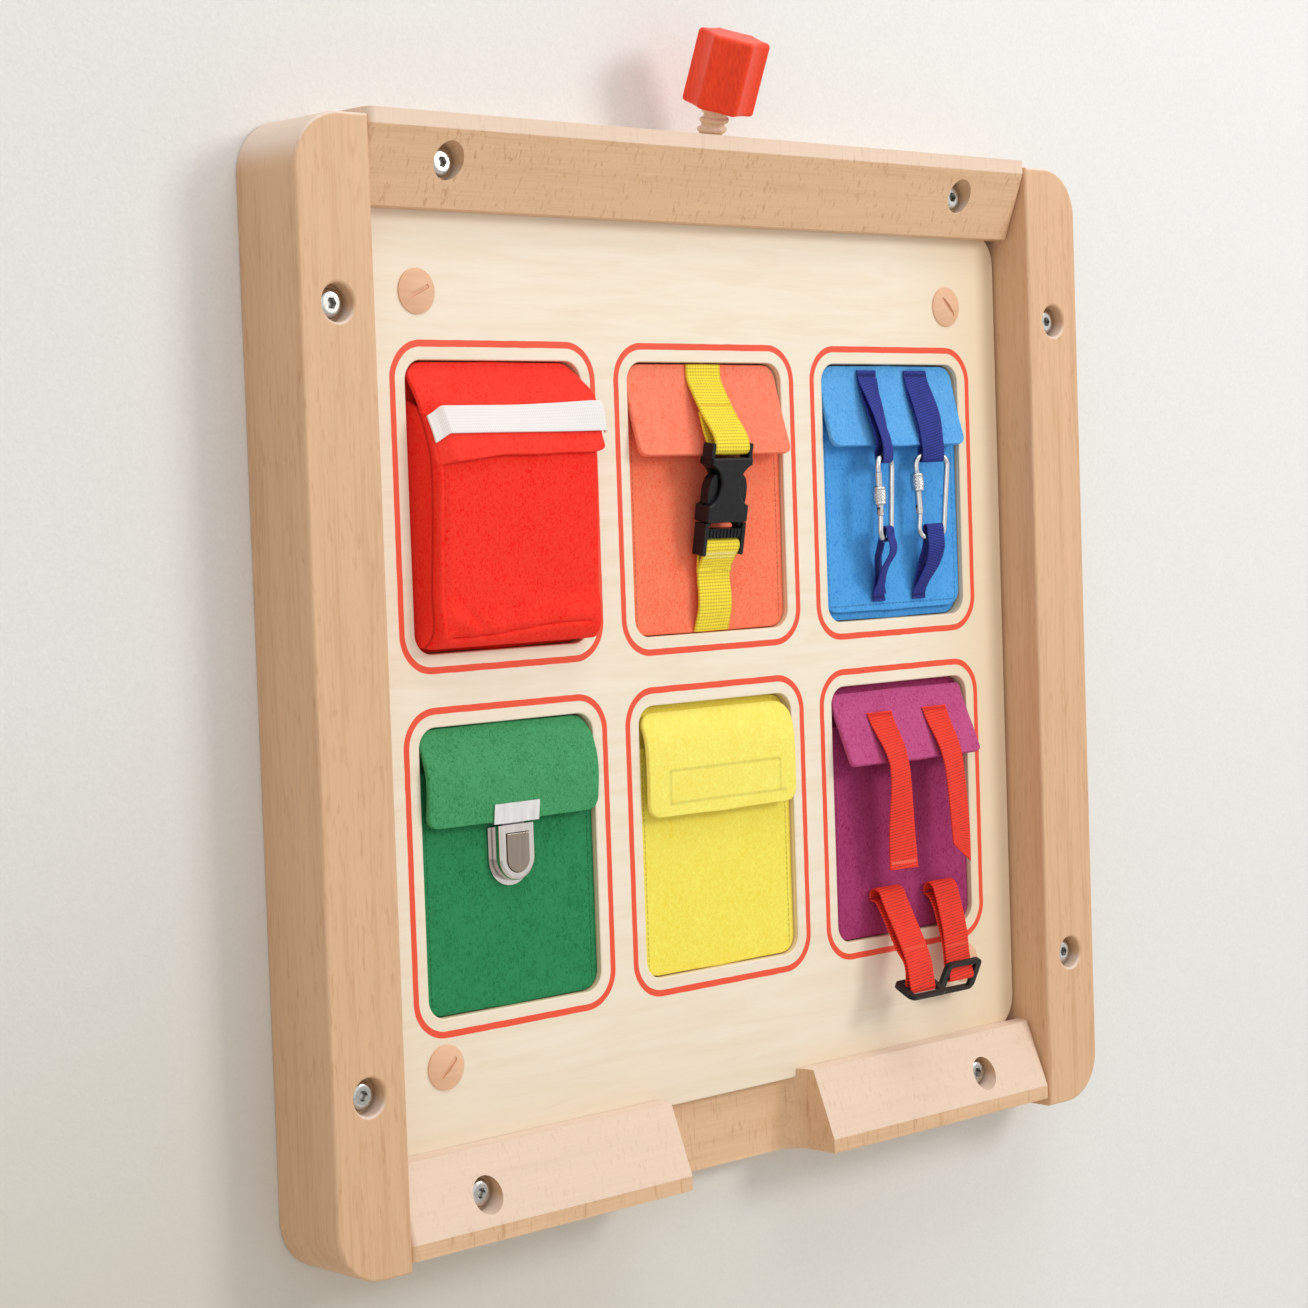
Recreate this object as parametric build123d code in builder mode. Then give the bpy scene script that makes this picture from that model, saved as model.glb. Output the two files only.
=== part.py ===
"""Wall-hung dressing board: a beech frame holds a plywood panel with six felt wallets.

Frame: +X to the right, +Z up, the wall is the plane y = 0 and the board faces -Y.
The origin is the middle of the frame on the wall. Sizes are in millimetres.
A "height" below is a distance from the wall, so a point at height h has y = -h.
"""
import os
from math import cos, radians, sin, tan

from build123d import *

os.makedirs("parts", exist_ok=True)

# ---------------------------------------------------------------- driving sizes
# frame
frame_depth = 45.0
post_width = 43.0
post_corner = 26.0
post_edge = 1.6
rail_height = 43.5
rail_rise = 3.5            # top rail stands above the posts
rail_lift = 5.0            # bottom rail sits above the posts' feet
band_height = 7.5          # upright band of a rail's front face
nose_setback = 14.0        # how far the slanted face runs back
rail_end_round = 4.0
rail_edge = 1.2
dowel_d = 10.0
dowel_length = 44.0
dowel_clear = 0.02
notch_half = 53.0
notch_floor_height = 14.7
notch_cove = 13.0

# wall screws
screw_d = 8.0
screw_head_d = 14.0
screw_head_h = 4.4
screw_hex = 5.0
screw_hex_depth = 2.6
screw_stud = 38.0          # what goes into the wall
screw_hole_clear = 0.25
counterbore_d = 18.0
counterbore_depth = 9.5
screw_shank_d = 7.0        # plain shank inside the wood
post_screw_inset = 87.0    # from a post's end
rail_screw_inset = 51.5    # from a post's inner face

# panel
panel_back_height = 8.0
board_thickness = 3.0
ply_thickness = 9.0
panel_side_gap = 1.5
panel_corner = 20.0
panel_edge = 0.8
groove_clear = 0.3
top_cover = 5.5            # panel hidden behind the top rail
bottom_cover = 4.8         # panel hidden behind the bottom lips
lift_travel = 6.0
lift_clear = 1.0

# windows: with the margins they set the panel, and the panel sets the frame
window_width = 112.0
window_height = 141.0
window_corner = 10.0
upright_bar = 32.0         # between two columns of windows
level_bar = 35.5           # between the two rows
side_margin = 34.0
top_margin = 76.65
bottom_margin = 67.65

# caps and panel screws
cap_inset = 42.5
cap_d = 22.0
cap_h = 3.2
cap_slot = 2.2
cap_slot_depth = 1.4
cap_stem_d = 6.0
cap_angles = {"upper_left": 24.0, "upper_right": 134.0, "lower_left": 42.0, "lower_right": 20.0}

# clamp
thread_d = 15.0
thread_clear = 0.05
thread_pitch = 5.0
clamp_tilt = 23.0
clamp_height = 28.4        # where the shank's axis leaves the top rail
clamp_gap = 16.5           # rail top to knob, along the axis
clamp_tip_clear = 1.2
clamp_tip_chamfer = 3.0
knob_across_corners = 40.4
knob_length = 38.5
knob_hollow = 1.8
knob_round = 2.2
knob_socket = 14.0
knob_turn = 16.0

# felt
felt = 3.0
wallet_gap = 0.5
pocket_slot = 0.8
pocket_seam = 6.0
mouth_drop = 22.0          # pocket mouth below a wallet's top edge
hinge_drop = 4.5           # living hinge of the two open flaps
flap_inset = 2.5           # each side of a flap stays this far inside its window
flap_top_corner = 18.0
drawn_half_height = 70.0   # half height of a wallet for which the soft outlines are written
body_clear = 0.35          # soft pieces on different bodies

# ---------------------------------------------------------------- derived places
pitch_x = window_width + upright_bar
pitch_z = window_height + level_bar
panel_half = pitch_x + window_width / 2 + side_margin
panel_height = pitch_z + window_height + top_margin + bottom_margin
inner_half = panel_half + panel_side_gap
frame_width = 2 * (inner_half + post_width)
frame_height = panel_height + 2 * rail_height - rail_rise + rail_lift - top_cover - bottom_cover
rail_top = frame_height / 2 + rail_rise
top_rail_low = rail_top - rail_height
rail_bottom = -frame_height / 2 + rail_lift
bottom_rail_high = rail_bottom + rail_height
nose_height = frame_depth - nose_setback
panel_low = bottom_rail_high - bottom_cover
panel_high = top_rail_low + top_cover
panel_mid = (panel_low + panel_high) / 2
panel_front_height = panel_back_height + board_thickness + ply_thickness
felt_back_height = panel_back_height + board_thickness
pocket_front_height = felt_back_height + 2 * felt
grid_mid = panel_mid + (bottom_margin - top_margin) / 2
post_x = inner_half + post_width / 2
post_screw_z = frame_height / 2 - post_screw_inset
rail_screw_x = inner_half - rail_screw_inset
rail_z = {"top": (rail_top + top_rail_low) / 2, "bottom": (rail_bottom + bottom_rail_high) / 2}

windows = {
    "red": (-pitch_x, grid_mid + pitch_z / 2),
    "orange": (0.0, grid_mid + pitch_z / 2),
    "blue": (pitch_x, grid_mid + pitch_z / 2),
    "green": (-pitch_x, grid_mid - pitch_z / 2),
    "yellow": (0.0, grid_mid - pitch_z / 2),
    "purple": (pitch_x, grid_mid - pitch_z / 2),
}


def height(h):
    """Sketch plane parallel to the wall at height h; extruding goes towards the viewer."""
    return Plane.XZ.offset(h)


def side(x):
    """Sketch plane across the board at x; sketch axes are world Y and Z."""
    return Plane.YZ.offset(x)


def save(builder, name):
    """Label a finished piece and write its STEP file."""
    builder.part.label = name
    export_step(builder.part, f"parts/{name}.step")


def screw_places():
    """Middle of every wall screw as (x, z, height of the counterbore floor)."""
    slant = nose_setback / (rail_height - band_height)
    rail_front = frame_depth - slant * (rail_height / 2 - band_height)
    places = []
    for sx in (-1, 1):
        for sz in (-1, 1):
            places.append((sx * post_x, sz * post_screw_z, frame_depth - counterbore_depth))
        for z in rail_z.values():
            places.append((sx * rail_screw_x, z, rail_front - counterbore_depth))
    return places


def ribbon(points, thickness):
    """Closed outline of a strip that follows (height, z) points; both ends are square."""
    path = [(-h, z) for h, z in points]
    front = []
    back = []
    for i, (y, z) in enumerate(path):
        y0, z0 = path[max(i - 1, 0)]
        y1, z1 = path[min(i + 1, len(path) - 1)]
        length = ((y1 - y0) ** 2 + (z1 - z0) ** 2) ** 0.5
        ny = (z1 - z0) / length * thickness / 2
        nz = -(y1 - y0) / length * thickness / 2
        front.append((y + ny, z + nz))
        back.append((y - ny, z - nz))
    return front + back[::-1]


def arc(h, z, r, start, end, steps=6):
    """Points on a circle round (h, z); angle 0 points at the viewer, 90 points up."""
    turns = [radians(start + (end - start) * i / steps) for i in range(steps + 1)]
    return [(h + r * cos(a), z + r * sin(a)) for a in turns]


def at(window, points):
    """Move (height, z) points from a window's middle to the board."""
    wz = windows[window][1]
    return [(h, wz + z) for h, z in points]


stretch = (window_height / 2 - wallet_gap) / drawn_half_height


def drawn(points):
    """Soft outlines (height, z) from a window's middle, stretched to the real height of a wallet."""
    return [(h, z * stretch) for h, z in points]


# ================================================================ wall frame
dowel_places = []
for end, away in (("top", 1), ("bottom", -1)):
    for dowel_height in (13.0, 31.0):
        dowel_places.append((dowel_height, rail_z[end] + away * 4.0))

for name, sx in (("left_post", -1), ("right_post", 1)):
    with BuildPart() as post:
        with BuildSketch(height(0)):
            with Locations((sx * post_x, 0)):
                Rectangle(post_width, frame_height)
            fillet(vertices().group_by(Axis.X)[0 if sx < 0 else -1], post_corner)
        extrude(amount=frame_depth)
        fillet(faces().sort_by(Axis.Y)[0].edges(), post_edge)
        for x, z, floor in screw_places():
            if x * sx > inner_half:
                with BuildSketch(height(0)):
                    with Locations((x, z)):
                        Circle(screw_d / 2 + screw_hole_clear)
                extrude(amount=floor, mode=Mode.SUBTRACT)
                with BuildSketch(height(floor)):
                    with Locations((x, z)):
                        Circle(counterbore_d / 2)
                extrude(amount=frame_depth, mode=Mode.SUBTRACT)
        mouths = edges().filter_by(GeomType.CIRCLE).group_by(Axis.Y)[0]
        fillet(mouths, post_edge)
        with BuildSketch(side(sx * inner_half)):
            for h, z in dowel_places:
                with Locations((-h, z)):
                    Circle(dowel_d / 2 + dowel_clear)
        extrude(amount=sx * (dowel_length / 2 + 0.5), mode=Mode.SUBTRACT)
    save(post, name)

with BuildPart() as dowels:
    for sx in (-1, 1):
        with BuildSketch(side(sx * inner_half)):
            for h, z in dowel_places:
                with Locations((-h, z)):
                    Circle(dowel_d / 2)
        extrude(amount=dowel_length / 2, both=True)
save(dowels, "frame_dowels")

for name, outer_z, inner_z in (
    ("top_rail", rail_top, top_rail_low),
    ("bottom_rail", rail_bottom, bottom_rail_high),
):
    inward = 1 if inner_z > outer_z else -1
    groove = bottom_cover if name == "bottom_rail" else top_cover + lift_travel + lift_clear
    with BuildPart() as rail:
        with BuildSketch(side(0)):
            with BuildLine():
                Polyline(
                    (0, outer_z),
                    (-frame_depth, outer_z),
                    (-frame_depth, outer_z + inward * band_height),
                    (-nose_height, inner_z),
                    (0, inner_z),
                    close=True,
                )
            make_face()
        extrude(amount=inner_half, both=True)
        ends = faces().filter_by(Axis.X).edges()
        fillet([e for e in ends if -e.center().Y > (frame_depth + nose_height) / 2 - 1], rail_end_round)
        with BuildSketch(side(0)):
            groove_low = min(inner_z, inner_z - inward * groove)
            with Locations((-(panel_back_height + panel_front_height) / 2, groove_low + groove / 2)):
                Rectangle(panel_front_height - panel_back_height + 2 * groove_clear, groove)
        extrude(amount=inner_half, both=True, mode=Mode.SUBTRACT)
        for x, z, floor in screw_places():
            if abs(x) < inner_half and min(outer_z, inner_z) < z < max(outer_z, inner_z):
                with BuildSketch(height(0)):
                    with Locations((x, z)):
                        Circle(screw_d / 2 + screw_hole_clear)
                extrude(amount=floor, mode=Mode.SUBTRACT)
                with BuildSketch(height(floor)):
                    with Locations((x, z)):
                        Circle(counterbore_d / 2)
                extrude(amount=frame_depth, mode=Mode.SUBTRACT)
        for sx in (-1, 1):
            with BuildSketch(side(sx * inner_half)):
                for h, z in dowel_places:
                    with Locations((-h, z)):
                        Circle(dowel_d / 2 + dowel_clear)
            extrude(amount=-sx * (dowel_length / 2 + 0.5), mode=Mode.SUBTRACT)
        if name == "bottom_rail":
            with BuildSketch(Plane.XY.offset(outer_z)):
                reach = frame_depth + notch_cove - notch_floor_height
                with Locations((0, -notch_floor_height - reach / 2)):
                    Rectangle(2 * notch_half, reach)
                fillet(vertices().group_by(Axis.Y)[-1], notch_cove)
            extrude(amount=rail_height, mode=Mode.SUBTRACT)
        else:
            tilt = radians(clamp_tilt)
            clamp_plane = Plane(
                origin=(0, -clamp_height, rail_top), x_dir=(1, 0, 0), z_dir=(0, -sin(tilt), cos(tilt))
            )
            bore_depth = (rail_height - top_cover - lift_travel - lift_clear) / cos(tilt) + 3.0
            with BuildSketch(clamp_plane.offset(10)):
                Circle(thread_d / 2 + thread_clear)
            extrude(amount=-bore_depth - 10, mode=Mode.SUBTRACT)
    save(rail, name)

with BuildPart() as wall_screws:
    for x, z, floor in screw_places():
        with BuildSketch(height(floor)):
            with Locations((x, z)):
                Circle(screw_head_d / 2)
        extrude(amount=screw_head_h)
        with BuildSketch(height(0)):
            with Locations((x, z)):
                Circle(screw_shank_d / 2)
        extrude(amount=floor)
        with BuildSketch(height(0)):
            with Locations((x, z)):
                Circle(screw_d / 2)
        extrude(amount=-screw_stud)
    rims = [e for e in edges().filter_by(GeomType.CIRCLE) if e.radius > screw_d / 2 + 1]
    tops = [e for e in rims if any(abs(-e.center().Y - f - screw_head_h) < 0.01 for _, _, f in screw_places())]
    fillet(tops, screw_head_h * 0.6)
    for x, z, floor in screw_places():
        with BuildSketch(height(floor + screw_head_h - screw_hex_depth)):
            with Locations((x, z)):
                RegularPolygon(radius=screw_hex / 2, side_count=6, major_radius=False)
        extrude(amount=screw_hex_depth, mode=Mode.SUBTRACT)
save(wall_screws, "wall_screws")

# ================================================================ clamp
tip_radius = thread_d / 2 - clamp_tip_chamfer
tip_z = panel_high + lift_travel + clamp_tip_clear + tip_radius * sin(tilt)
tip_depth = (rail_top - tip_z) / cos(tilt)

with BuildPart() as clamp_screw:
    with BuildSketch(clamp_plane.offset(-tip_depth)):
        Circle(thread_d / 2)
    extrude(amount=tip_depth + clamp_gap + knob_socket)
    tip_edge = edges().filter_by(GeomType.CIRCLE).sort_by(Axis.Z)[0]
    chamfer(tip_edge, clamp_tip_chamfer)
save(clamp_screw, "clamp_screw")

knob_plane = clamp_plane.offset(clamp_gap)
knob_r = knob_across_corners / 2
with BuildPart() as clamp_knob:
    with BuildSketch(knob_plane):
        with BuildLine():
            corners = []
            for i in range(6):
                a = radians(knob_turn + 60 * i)
                corners.append((knob_r * cos(a), knob_r * sin(a)))
            for i in range(6):
                a = radians(knob_turn + 60 * i + 30)
                hollow = knob_r * cos(radians(30)) - knob_hollow
                ThreePointArc(corners[i], (hollow * cos(a), hollow * sin(a)), corners[(i + 1) % 6])
        make_face()
        fillet(vertices(), knob_round * 1.4)
    extrude(amount=knob_length)
    knob_ends = faces().filter_by(GeomType.PLANE)
    fillet(knob_ends.edges(), knob_round)
    with BuildSketch(knob_plane):
        Circle(thread_d / 2)
    extrude(amount=knob_socket, mode=Mode.SUBTRACT)
save(clamp_knob, "clamp_knob")

# ================================================================ panel
cap_x = panel_half - cap_inset
cap_z = panel_height / 2 - cap_inset - 1.5
cap_places = {
    "upper_left": (-cap_x, panel_mid + cap_z),
    "upper_right": (cap_x, panel_mid + cap_z),
    "lower_left": (-cap_x, panel_mid - cap_z),
    "lower_right": (cap_x, panel_mid - cap_z),
}
nut_d = 9.0
nut_flange_d = 14.0
nut_flange = 1.0
nut_end_gap = 1.5

with BuildPart() as activity_panel:
    with BuildSketch(height(felt_back_height)):
        with Locations((0, panel_mid)):
            RectangleRounded(2 * panel_half, panel_height, panel_corner)
        with Locations(*windows.values()):
            RectangleRounded(window_width, window_height, window_corner, mode=Mode.SUBTRACT)
    extrude(amount=ply_thickness)
    fillet(faces().sort_by(Axis.Y)[0].edges(), panel_edge)
    with BuildSketch(height(felt_back_height)):
        with Locations(*cap_places.values()):
            Circle(nut_d / 2)
    extrude(amount=ply_thickness, mode=Mode.SUBTRACT)
save(activity_panel, "activity_panel")

with BuildPart() as backing_board:
    with BuildSketch(height(panel_back_height)):
        with Locations((0, panel_mid)):
            RectangleRounded(2 * panel_half, panel_height, panel_corner)
        with Locations(*cap_places.values()):
            Circle(nut_d / 2, mode=Mode.SUBTRACT)
    extrude(amount=board_thickness)
save(backing_board, "backing_board")

with BuildPart() as panel_nuts:
    with BuildSketch(height(panel_back_height - nut_flange)):
        with Locations(*cap_places.values()):
            Circle(nut_flange_d / 2)
    extrude(amount=nut_flange)
    with BuildSketch(height(panel_back_height)):
        with Locations(*cap_places.values()):
            Circle(nut_d / 2)
    extrude(amount=panel_front_height - panel_back_height - nut_end_gap)
    with BuildSketch(height(panel_back_height - nut_flange)):
        with Locations(*cap_places.values()):
            Circle(cap_stem_d / 2)
    extrude(amount=panel_front_height, mode=Mode.SUBTRACT)
save(panel_nuts, "panel_nuts")

dome_r = ((cap_d / 2) ** 2 + (cap_h - 0.8) ** 2) / (2 * (cap_h - 0.8))
with BuildPart() as panel_bolts:
    for place, (x, z) in cap_places.items():
        with BuildSketch(height(panel_front_height)):
            with Locations((x, z)):
                Circle(cap_d / 2)
        extrude(amount=cap_h)
        with BuildSketch(height(panel_back_height)):
            with Locations((x, z)):
                Circle(cap_stem_d / 2)
        extrude(amount=panel_front_height - panel_back_height)
    for place, (x, z) in cap_places.items():
        dome_centre = (x, -(panel_front_height + cap_h - dome_r), z)
        with BuildSketch(Plane(origin=dome_centre, x_dir=(1, 0, 0), z_dir=(0, 0, 1))):
            with BuildLine():
                rim = cap_d / 2 + 0.5
                top = cap_h + 2.0
                drop = dome_r - (dome_r**2 - rim**2) ** 0.5
                Line((0, -dome_r), (0, -dome_r - top))
                Line((0, -dome_r - top), (rim, -dome_r - top))
                Line((rim, -dome_r - top), (rim, -dome_r + drop))
                half = rim / 2
                ThreePointArc(
                    (rim, -dome_r + drop), (half, -((dome_r**2 - half**2) ** 0.5)), (0, -dome_r)
                )
            make_face()
        revolve(axis=Axis((x, 0, z), (0, 1, 0)), mode=Mode.SUBTRACT)
        slot_plane = Plane(
            origin=(x, -(panel_front_height + cap_h - cap_slot_depth), z),
            x_dir=(cos(radians(cap_angles[place])), 0, sin(radians(cap_angles[place]))),
            z_dir=(0, -1, 0),
        )
        with BuildSketch(slot_plane):
            SlotOverall(cap_d * 0.62, cap_slot)
        extrude(amount=cap_h, mode=Mode.SUBTRACT)
save(panel_bolts, "panel_bolts")

# ================================================================ felt wallets
half_w = window_width / 2 - wallet_gap
half_h = window_height / 2 - wallet_gap
seat = felt_back_height + felt            # front of the back layer
fold = half_h - 0.4                       # where a sewn flap starts
pocket_mouth = half_h - mouth_drop
flap_width = window_width - 2 * flap_inset
seam_mid = seat + felt / 2
rivet_d = 2.0
rivet_x = 5.0
clasp_rivets = [(sx * rivet_x, 3.0) for sx in (-1, 1)]

for name in ("orange", "blue", "green", "yellow", "purple"):
    wx, wz = windows[name]
    with BuildPart() as pocket:
        with BuildSketch(height(felt_back_height)):
            with Locations((wx, wz)):
                RectangleRounded(2 * half_w, 2 * half_h, window_corner - wallet_gap)
        extrude(amount=felt)
        with BuildSketch(height(seat)):
            with Locations((wx, wz)):
                RectangleRounded(2 * half_w, 2 * half_h, window_corner - wallet_gap)
            with Locations((wx, wz + pocket_mouth + half_h)):
                Rectangle(window_width, 2 * half_h, mode=Mode.SUBTRACT)
        extrude(amount=felt)
        with BuildSketch(height(seat - pocket_slot / 2)):
            slot_low = pocket_seam - half_h
            with Locations((wx, wz + (pocket_mouth + slot_low) / 2)):
                Rectangle(2 * (half_w - pocket_seam), pocket_mouth - slot_low)
        extrude(amount=pocket_slot, mode=Mode.SUBTRACT)
        if name == "green":
            with BuildSketch(height(seat)):
                for x, z in clasp_rivets:
                    with Locations((wx + x, wz + z)):
                        Circle(rivet_d / 2)
            extrude(amount=felt, mode=Mode.SUBTRACT)
    save(pocket, name + "_pocket")

hinge_z = half_h - hinge_drop
hinge_height = seat + felt / 2 + body_clear
flap_paths = {
    "red": [(seam_mid, fold)] + drawn([(16.2, 65.5), (20.0, 60.0), (25.0, 53.0), (30.0, 44.0),
                                       (34.5, 35.0), (37.2, 27.5), (38.5, 21.0)]),
    "orange": [(seam_mid, fold)] + drawn([(15.6, 62.0), (17.6, 53.0), (20.8, 42.0), (26.9, 22.5)]),
    "blue": [(seam_mid, fold)] + drawn([(15.6, 62.0), (17.2, 54.0), (19.8, 44.0), (25.2, 26.0)]),
    "green": [(seam_mid, fold)] + drawn([(16.6, 63.5), (19.6, 58.5), (22.3, 51.5), (23.5, 43.0)])
             + [(23.2, 35.0), (21.7, 22.0)],
    "yellow": [(hinge_height, hinge_z)] + drawn([(18.6, 61.0), (21.2, 55.5), (22.5, 49.0),
                                                 (22.9, 42.0), (22.9, 13.0)]),
    "purple": [(hinge_height, hinge_z)] + drawn([(17.2, 60.5), (20.2, 53.0), (24.0, 44.5), (31.4, 27.5)]),
}
flap_corners = {"red": 2.5, "orange": 6.0, "blue": 6.0, "green": 7.0, "yellow": 7.0, "purple": 4.0}

for name, path in flap_paths.items():
    wx, wz = windows[name]
    with BuildPart() as flap:
        with BuildSketch(side(wx)):
            with BuildLine():
                Polyline(*ribbon(at(name, path), felt), close=True)
            make_face()
            if name in ("yellow", "purple"):
                with Locations((-hinge_height, wz + hinge_z)):
                    Circle(felt / 2)
        extrude(amount=flap_width / 2, both=True)
        low = wz + path[-1][1] - felt
        with BuildSketch(height(0)):
            tall = wz + path[0][1] + (felt if name in ("yellow", "purple") else 0) - low
            with Locations((wx, low + tall / 2)):
                Rectangle(flap_width, tall)
            lows = vertices().group_by(Axis.Y)[0]
            fillet(lows, flap_corners[name] + felt)
            highs = vertices().group_by(Axis.Y)[-1]
            fillet(highs, flap_top_corner if name in ("yellow", "purple") else window_corner)
        extrude(amount=2 * frame_depth, mode=Mode.INTERSECT)
    save(flap, name + "_flap")

# ---------------------------------------------------------------- red pouch and elastic band
pouch_half = half_w - 1.5
pouch_foot = 4.0 - half_h
pouch_back = 52.0 * stretch
pouch_front = drawn([(31.6, -63.5), (35.4, 13.0), (35.0, 24.0), (32.4, 34.0), (28.4, 43.0)])
band_width = 14.5
band_thick = 1.2
band_mid = 41.5
band_path = drawn([(30.3, 48.5), (33.0, 43.0), (35.9, 37.2), (37.4, 34.0)])

wx, wz = windows["red"]
with BuildPart() as red_pocket:
    with BuildSketch(height(felt_back_height)):
        with Locations((wx, wz)):
            RectangleRounded(2 * half_w, 2 * half_h, window_corner - wallet_gap)
    extrude(amount=felt)
    outer = [(seat, pouch_foot), (27.0, pouch_foot)] + pouch_front + [(seat, pouch_back)]
    with BuildSketch(side(wx)):
        with BuildLine():
            Polyline(*[(-h, z) for h, z in at("red", outer)], close=True)
        make_face()
    extrude(amount=pouch_half, both=True)
    inner = [(seat, pouch_foot + felt), (26.0, pouch_foot + felt)]
    inner += [(h - felt - 0.1, z + (felt if z < 0 else 0.0)) for h, z in pouch_front]
    inner += [(30.0, pouch_back + 8.0), (seat, pouch_back + 8.0)]
    with BuildSketch(side(wx)):
        with BuildLine():
            Polyline(*[(-h, z) for h, z in at("red", inner)], close=True)
        make_face()
    extrude(amount=pouch_half - felt, both=True, mode=Mode.SUBTRACT)
save(red_pocket, "red_pocket")

with BuildPart() as elastic_band:
    with BuildSketch(side(wx)):
        with BuildLine():
            Polyline(*ribbon(at("red", band_path), band_thick), close=True)
        make_face()
    extrude(amount=pouch_half + band_thick, both=True)
    for sx in (-1, 1):
        tab = drawn([(22.5, 36.5), (22.5, 42.5)]) + band_path + drawn([(30.5, 34.0)])
        with BuildSketch(side(wx + sx * pouch_half)):
            with BuildLine():
                Polyline(*[(-h, z) for h, z in at("red", tab)], close=True)
            make_face()
        extrude(amount=sx * band_thick)
save(elastic_band, "elastic_band")

# ---------------------------------------------------------------- side-release buckle
wx, wz = windows["orange"]
buckle_tilt = radians(11.0)
buckle_height = 27.7
buckle_z = -12.5
up_y, up_z = -sin(buckle_tilt), cos(buckle_tilt)
buckle = Plane(
    origin=(wx, -buckle_height, wz + buckle_z), x_dir=(1, 0, 0), z_dir=(0, -cos(buckle_tilt), -sin(buckle_tilt))
)
socket_half = 14.4
socket_length = 34.0
socket_thick = 10.4
socket_wall = 2.1
cavity_thick = 6.4
waist_x = 17.9
waist_v = 19.5
waist_r = 11.2
bar_r = 2.0
ear_in = 12.4
ear_out = 14.8
ear_top = 41.5
ear_thick = 7.0
socket_bar_v = 38.8
plug_bar_v = -12.4
plug_foot = -17.5
plug_thick = 8.0
prong_x = 7.5
prong_v = 4.7
prong_thick = 5.6
webbing_width = 24.0
webbing_thick = 1.5
webbing_gap = 0.3


def on_buckle(v, w=0.0):
    """(height, z) of a point v along the buckle and w towards the viewer, from the window's middle."""
    h = buckle_height - v * up_y + w * cos(buckle_tilt)
    return (h, buckle_z + v * up_z - w * sin(buckle_tilt))


with BuildPart() as buckle_socket:
    with BuildSketch(buckle):
        with Locations((0, socket_length / 2)):
            Rectangle(2 * socket_half, socket_length)
        fillet(vertices(), 1.2)
        with Locations((waist_x, waist_v), (-waist_x, waist_v)):
            Circle(waist_r, mode=Mode.SUBTRACT)
    extrude(amount=socket_thick / 2, both=True)
    broad = faces().filter_by(lambda f: f.normal_at().dot(buckle.z_dir) > 0.99)
    fillet(broad.edges(), 1.0)
    with BuildSketch(buckle):
        with Locations((0, 13.0)):
            Rectangle(2 * (socket_half - socket_wall), 30.0)
    extrude(amount=cavity_thick / 2, both=True, mode=Mode.SUBTRACT)
    with BuildSketch(buckle):
        for sx in (-1, 1):
            with Locations((sx * (ear_in + ear_out) / 2, (ear_top + 30.5) / 2)):
                Rectangle(ear_out - ear_in, ear_top - 30.5)
        fillet(vertices().group_by(Axis.Y)[-1], 1.0)
    extrude(amount=ear_thick / 2, both=True)
    with BuildSketch(Plane(origin=buckle.from_local_coords((0, socket_bar_v, 0)), x_dir=(0, 1, 0), z_dir=(1, 0, 0))):
        Circle(bar_r)
    extrude(amount=ear_in + 0.5, both=True)
save(buckle_socket, "buckle_socket")

with BuildPart() as buckle_plug:
    with BuildSketch(buckle):
        for sx in (-1, 1):
            with Locations((sx * (ear_in + ear_out) / 2, (plug_foot - 0.4) / 2)):
                Rectangle(ear_out - ear_in, -plug_foot - 0.4)
        fillet(vertices().group_by(Axis.Y)[0], 1.0)
    extrude(amount=plug_thick / 2, both=True)
    with BuildSketch(buckle.offset(-1.2)):
        with Locations((0, -5.8)):
            Rectangle(2 * ear_in + 1, 4.8)
    extrude(amount=4.6)
    rib_plane = buckle.offset(3.4)
    with BuildSketch(rib_plane):
        for i in range(9):
            with Locations(((i - 4) * 2.5, -5.8)):
                Rectangle(1.1, 4.4)
    extrude(amount=0.5)
    with BuildSketch(Plane(origin=buckle.from_local_coords((0, plug_bar_v, 0)), x_dir=(0, 1, 0), z_dir=(1, 0, 0))):
        Circle(bar_r)
    extrude(amount=ear_in + 0.5, both=True)
    with BuildSketch(buckle):
        with Locations((0, 1.7)):
            Rectangle(2 * (socket_half - socket_wall - 0.3), 2.8)
        for sx in (-1, 1):
            with Locations((sx * 11.0, 0.4)):
                Rectangle(2.0, 4.6)
        with Locations((0, 13.0)):
            Rectangle(3.6, 22.0)
    extrude(amount=prong_thick / 2, both=True)
    with BuildSketch(buckle):
        for sx in (-1, 1):
            with Locations((sx * 12.4, -1.3)):
                Rectangle(3.0, 1.8)
    extrude(amount=prong_thick / 2, both=True)
save(buckle_plug, "buckle_plug")

prong_outline = [(6.1, 4.7), (8.9, 4.7), (10.8, 9.9), (13.5, 9.9), (13.9, 12.5), (13.9, 18.5), (12.4, 23.0),
                 (9.8, 25.4), (7.8, 24.6), (7.9, 12.5)]
for name, sx in (("left", -1), ("right", 1)):
    with BuildPart() as prong:
        with BuildSketch(buckle):
            with BuildLine():
                Polyline(*[(sx * x, v) for x, v in prong_outline], close=True)
            make_face()
            with Locations((sx * prong_x, prong_v)):
                Circle(1.4)
        extrude(amount=prong_thick / 2, both=True)
    save(prong, "buckle_prong_" + name)

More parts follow.
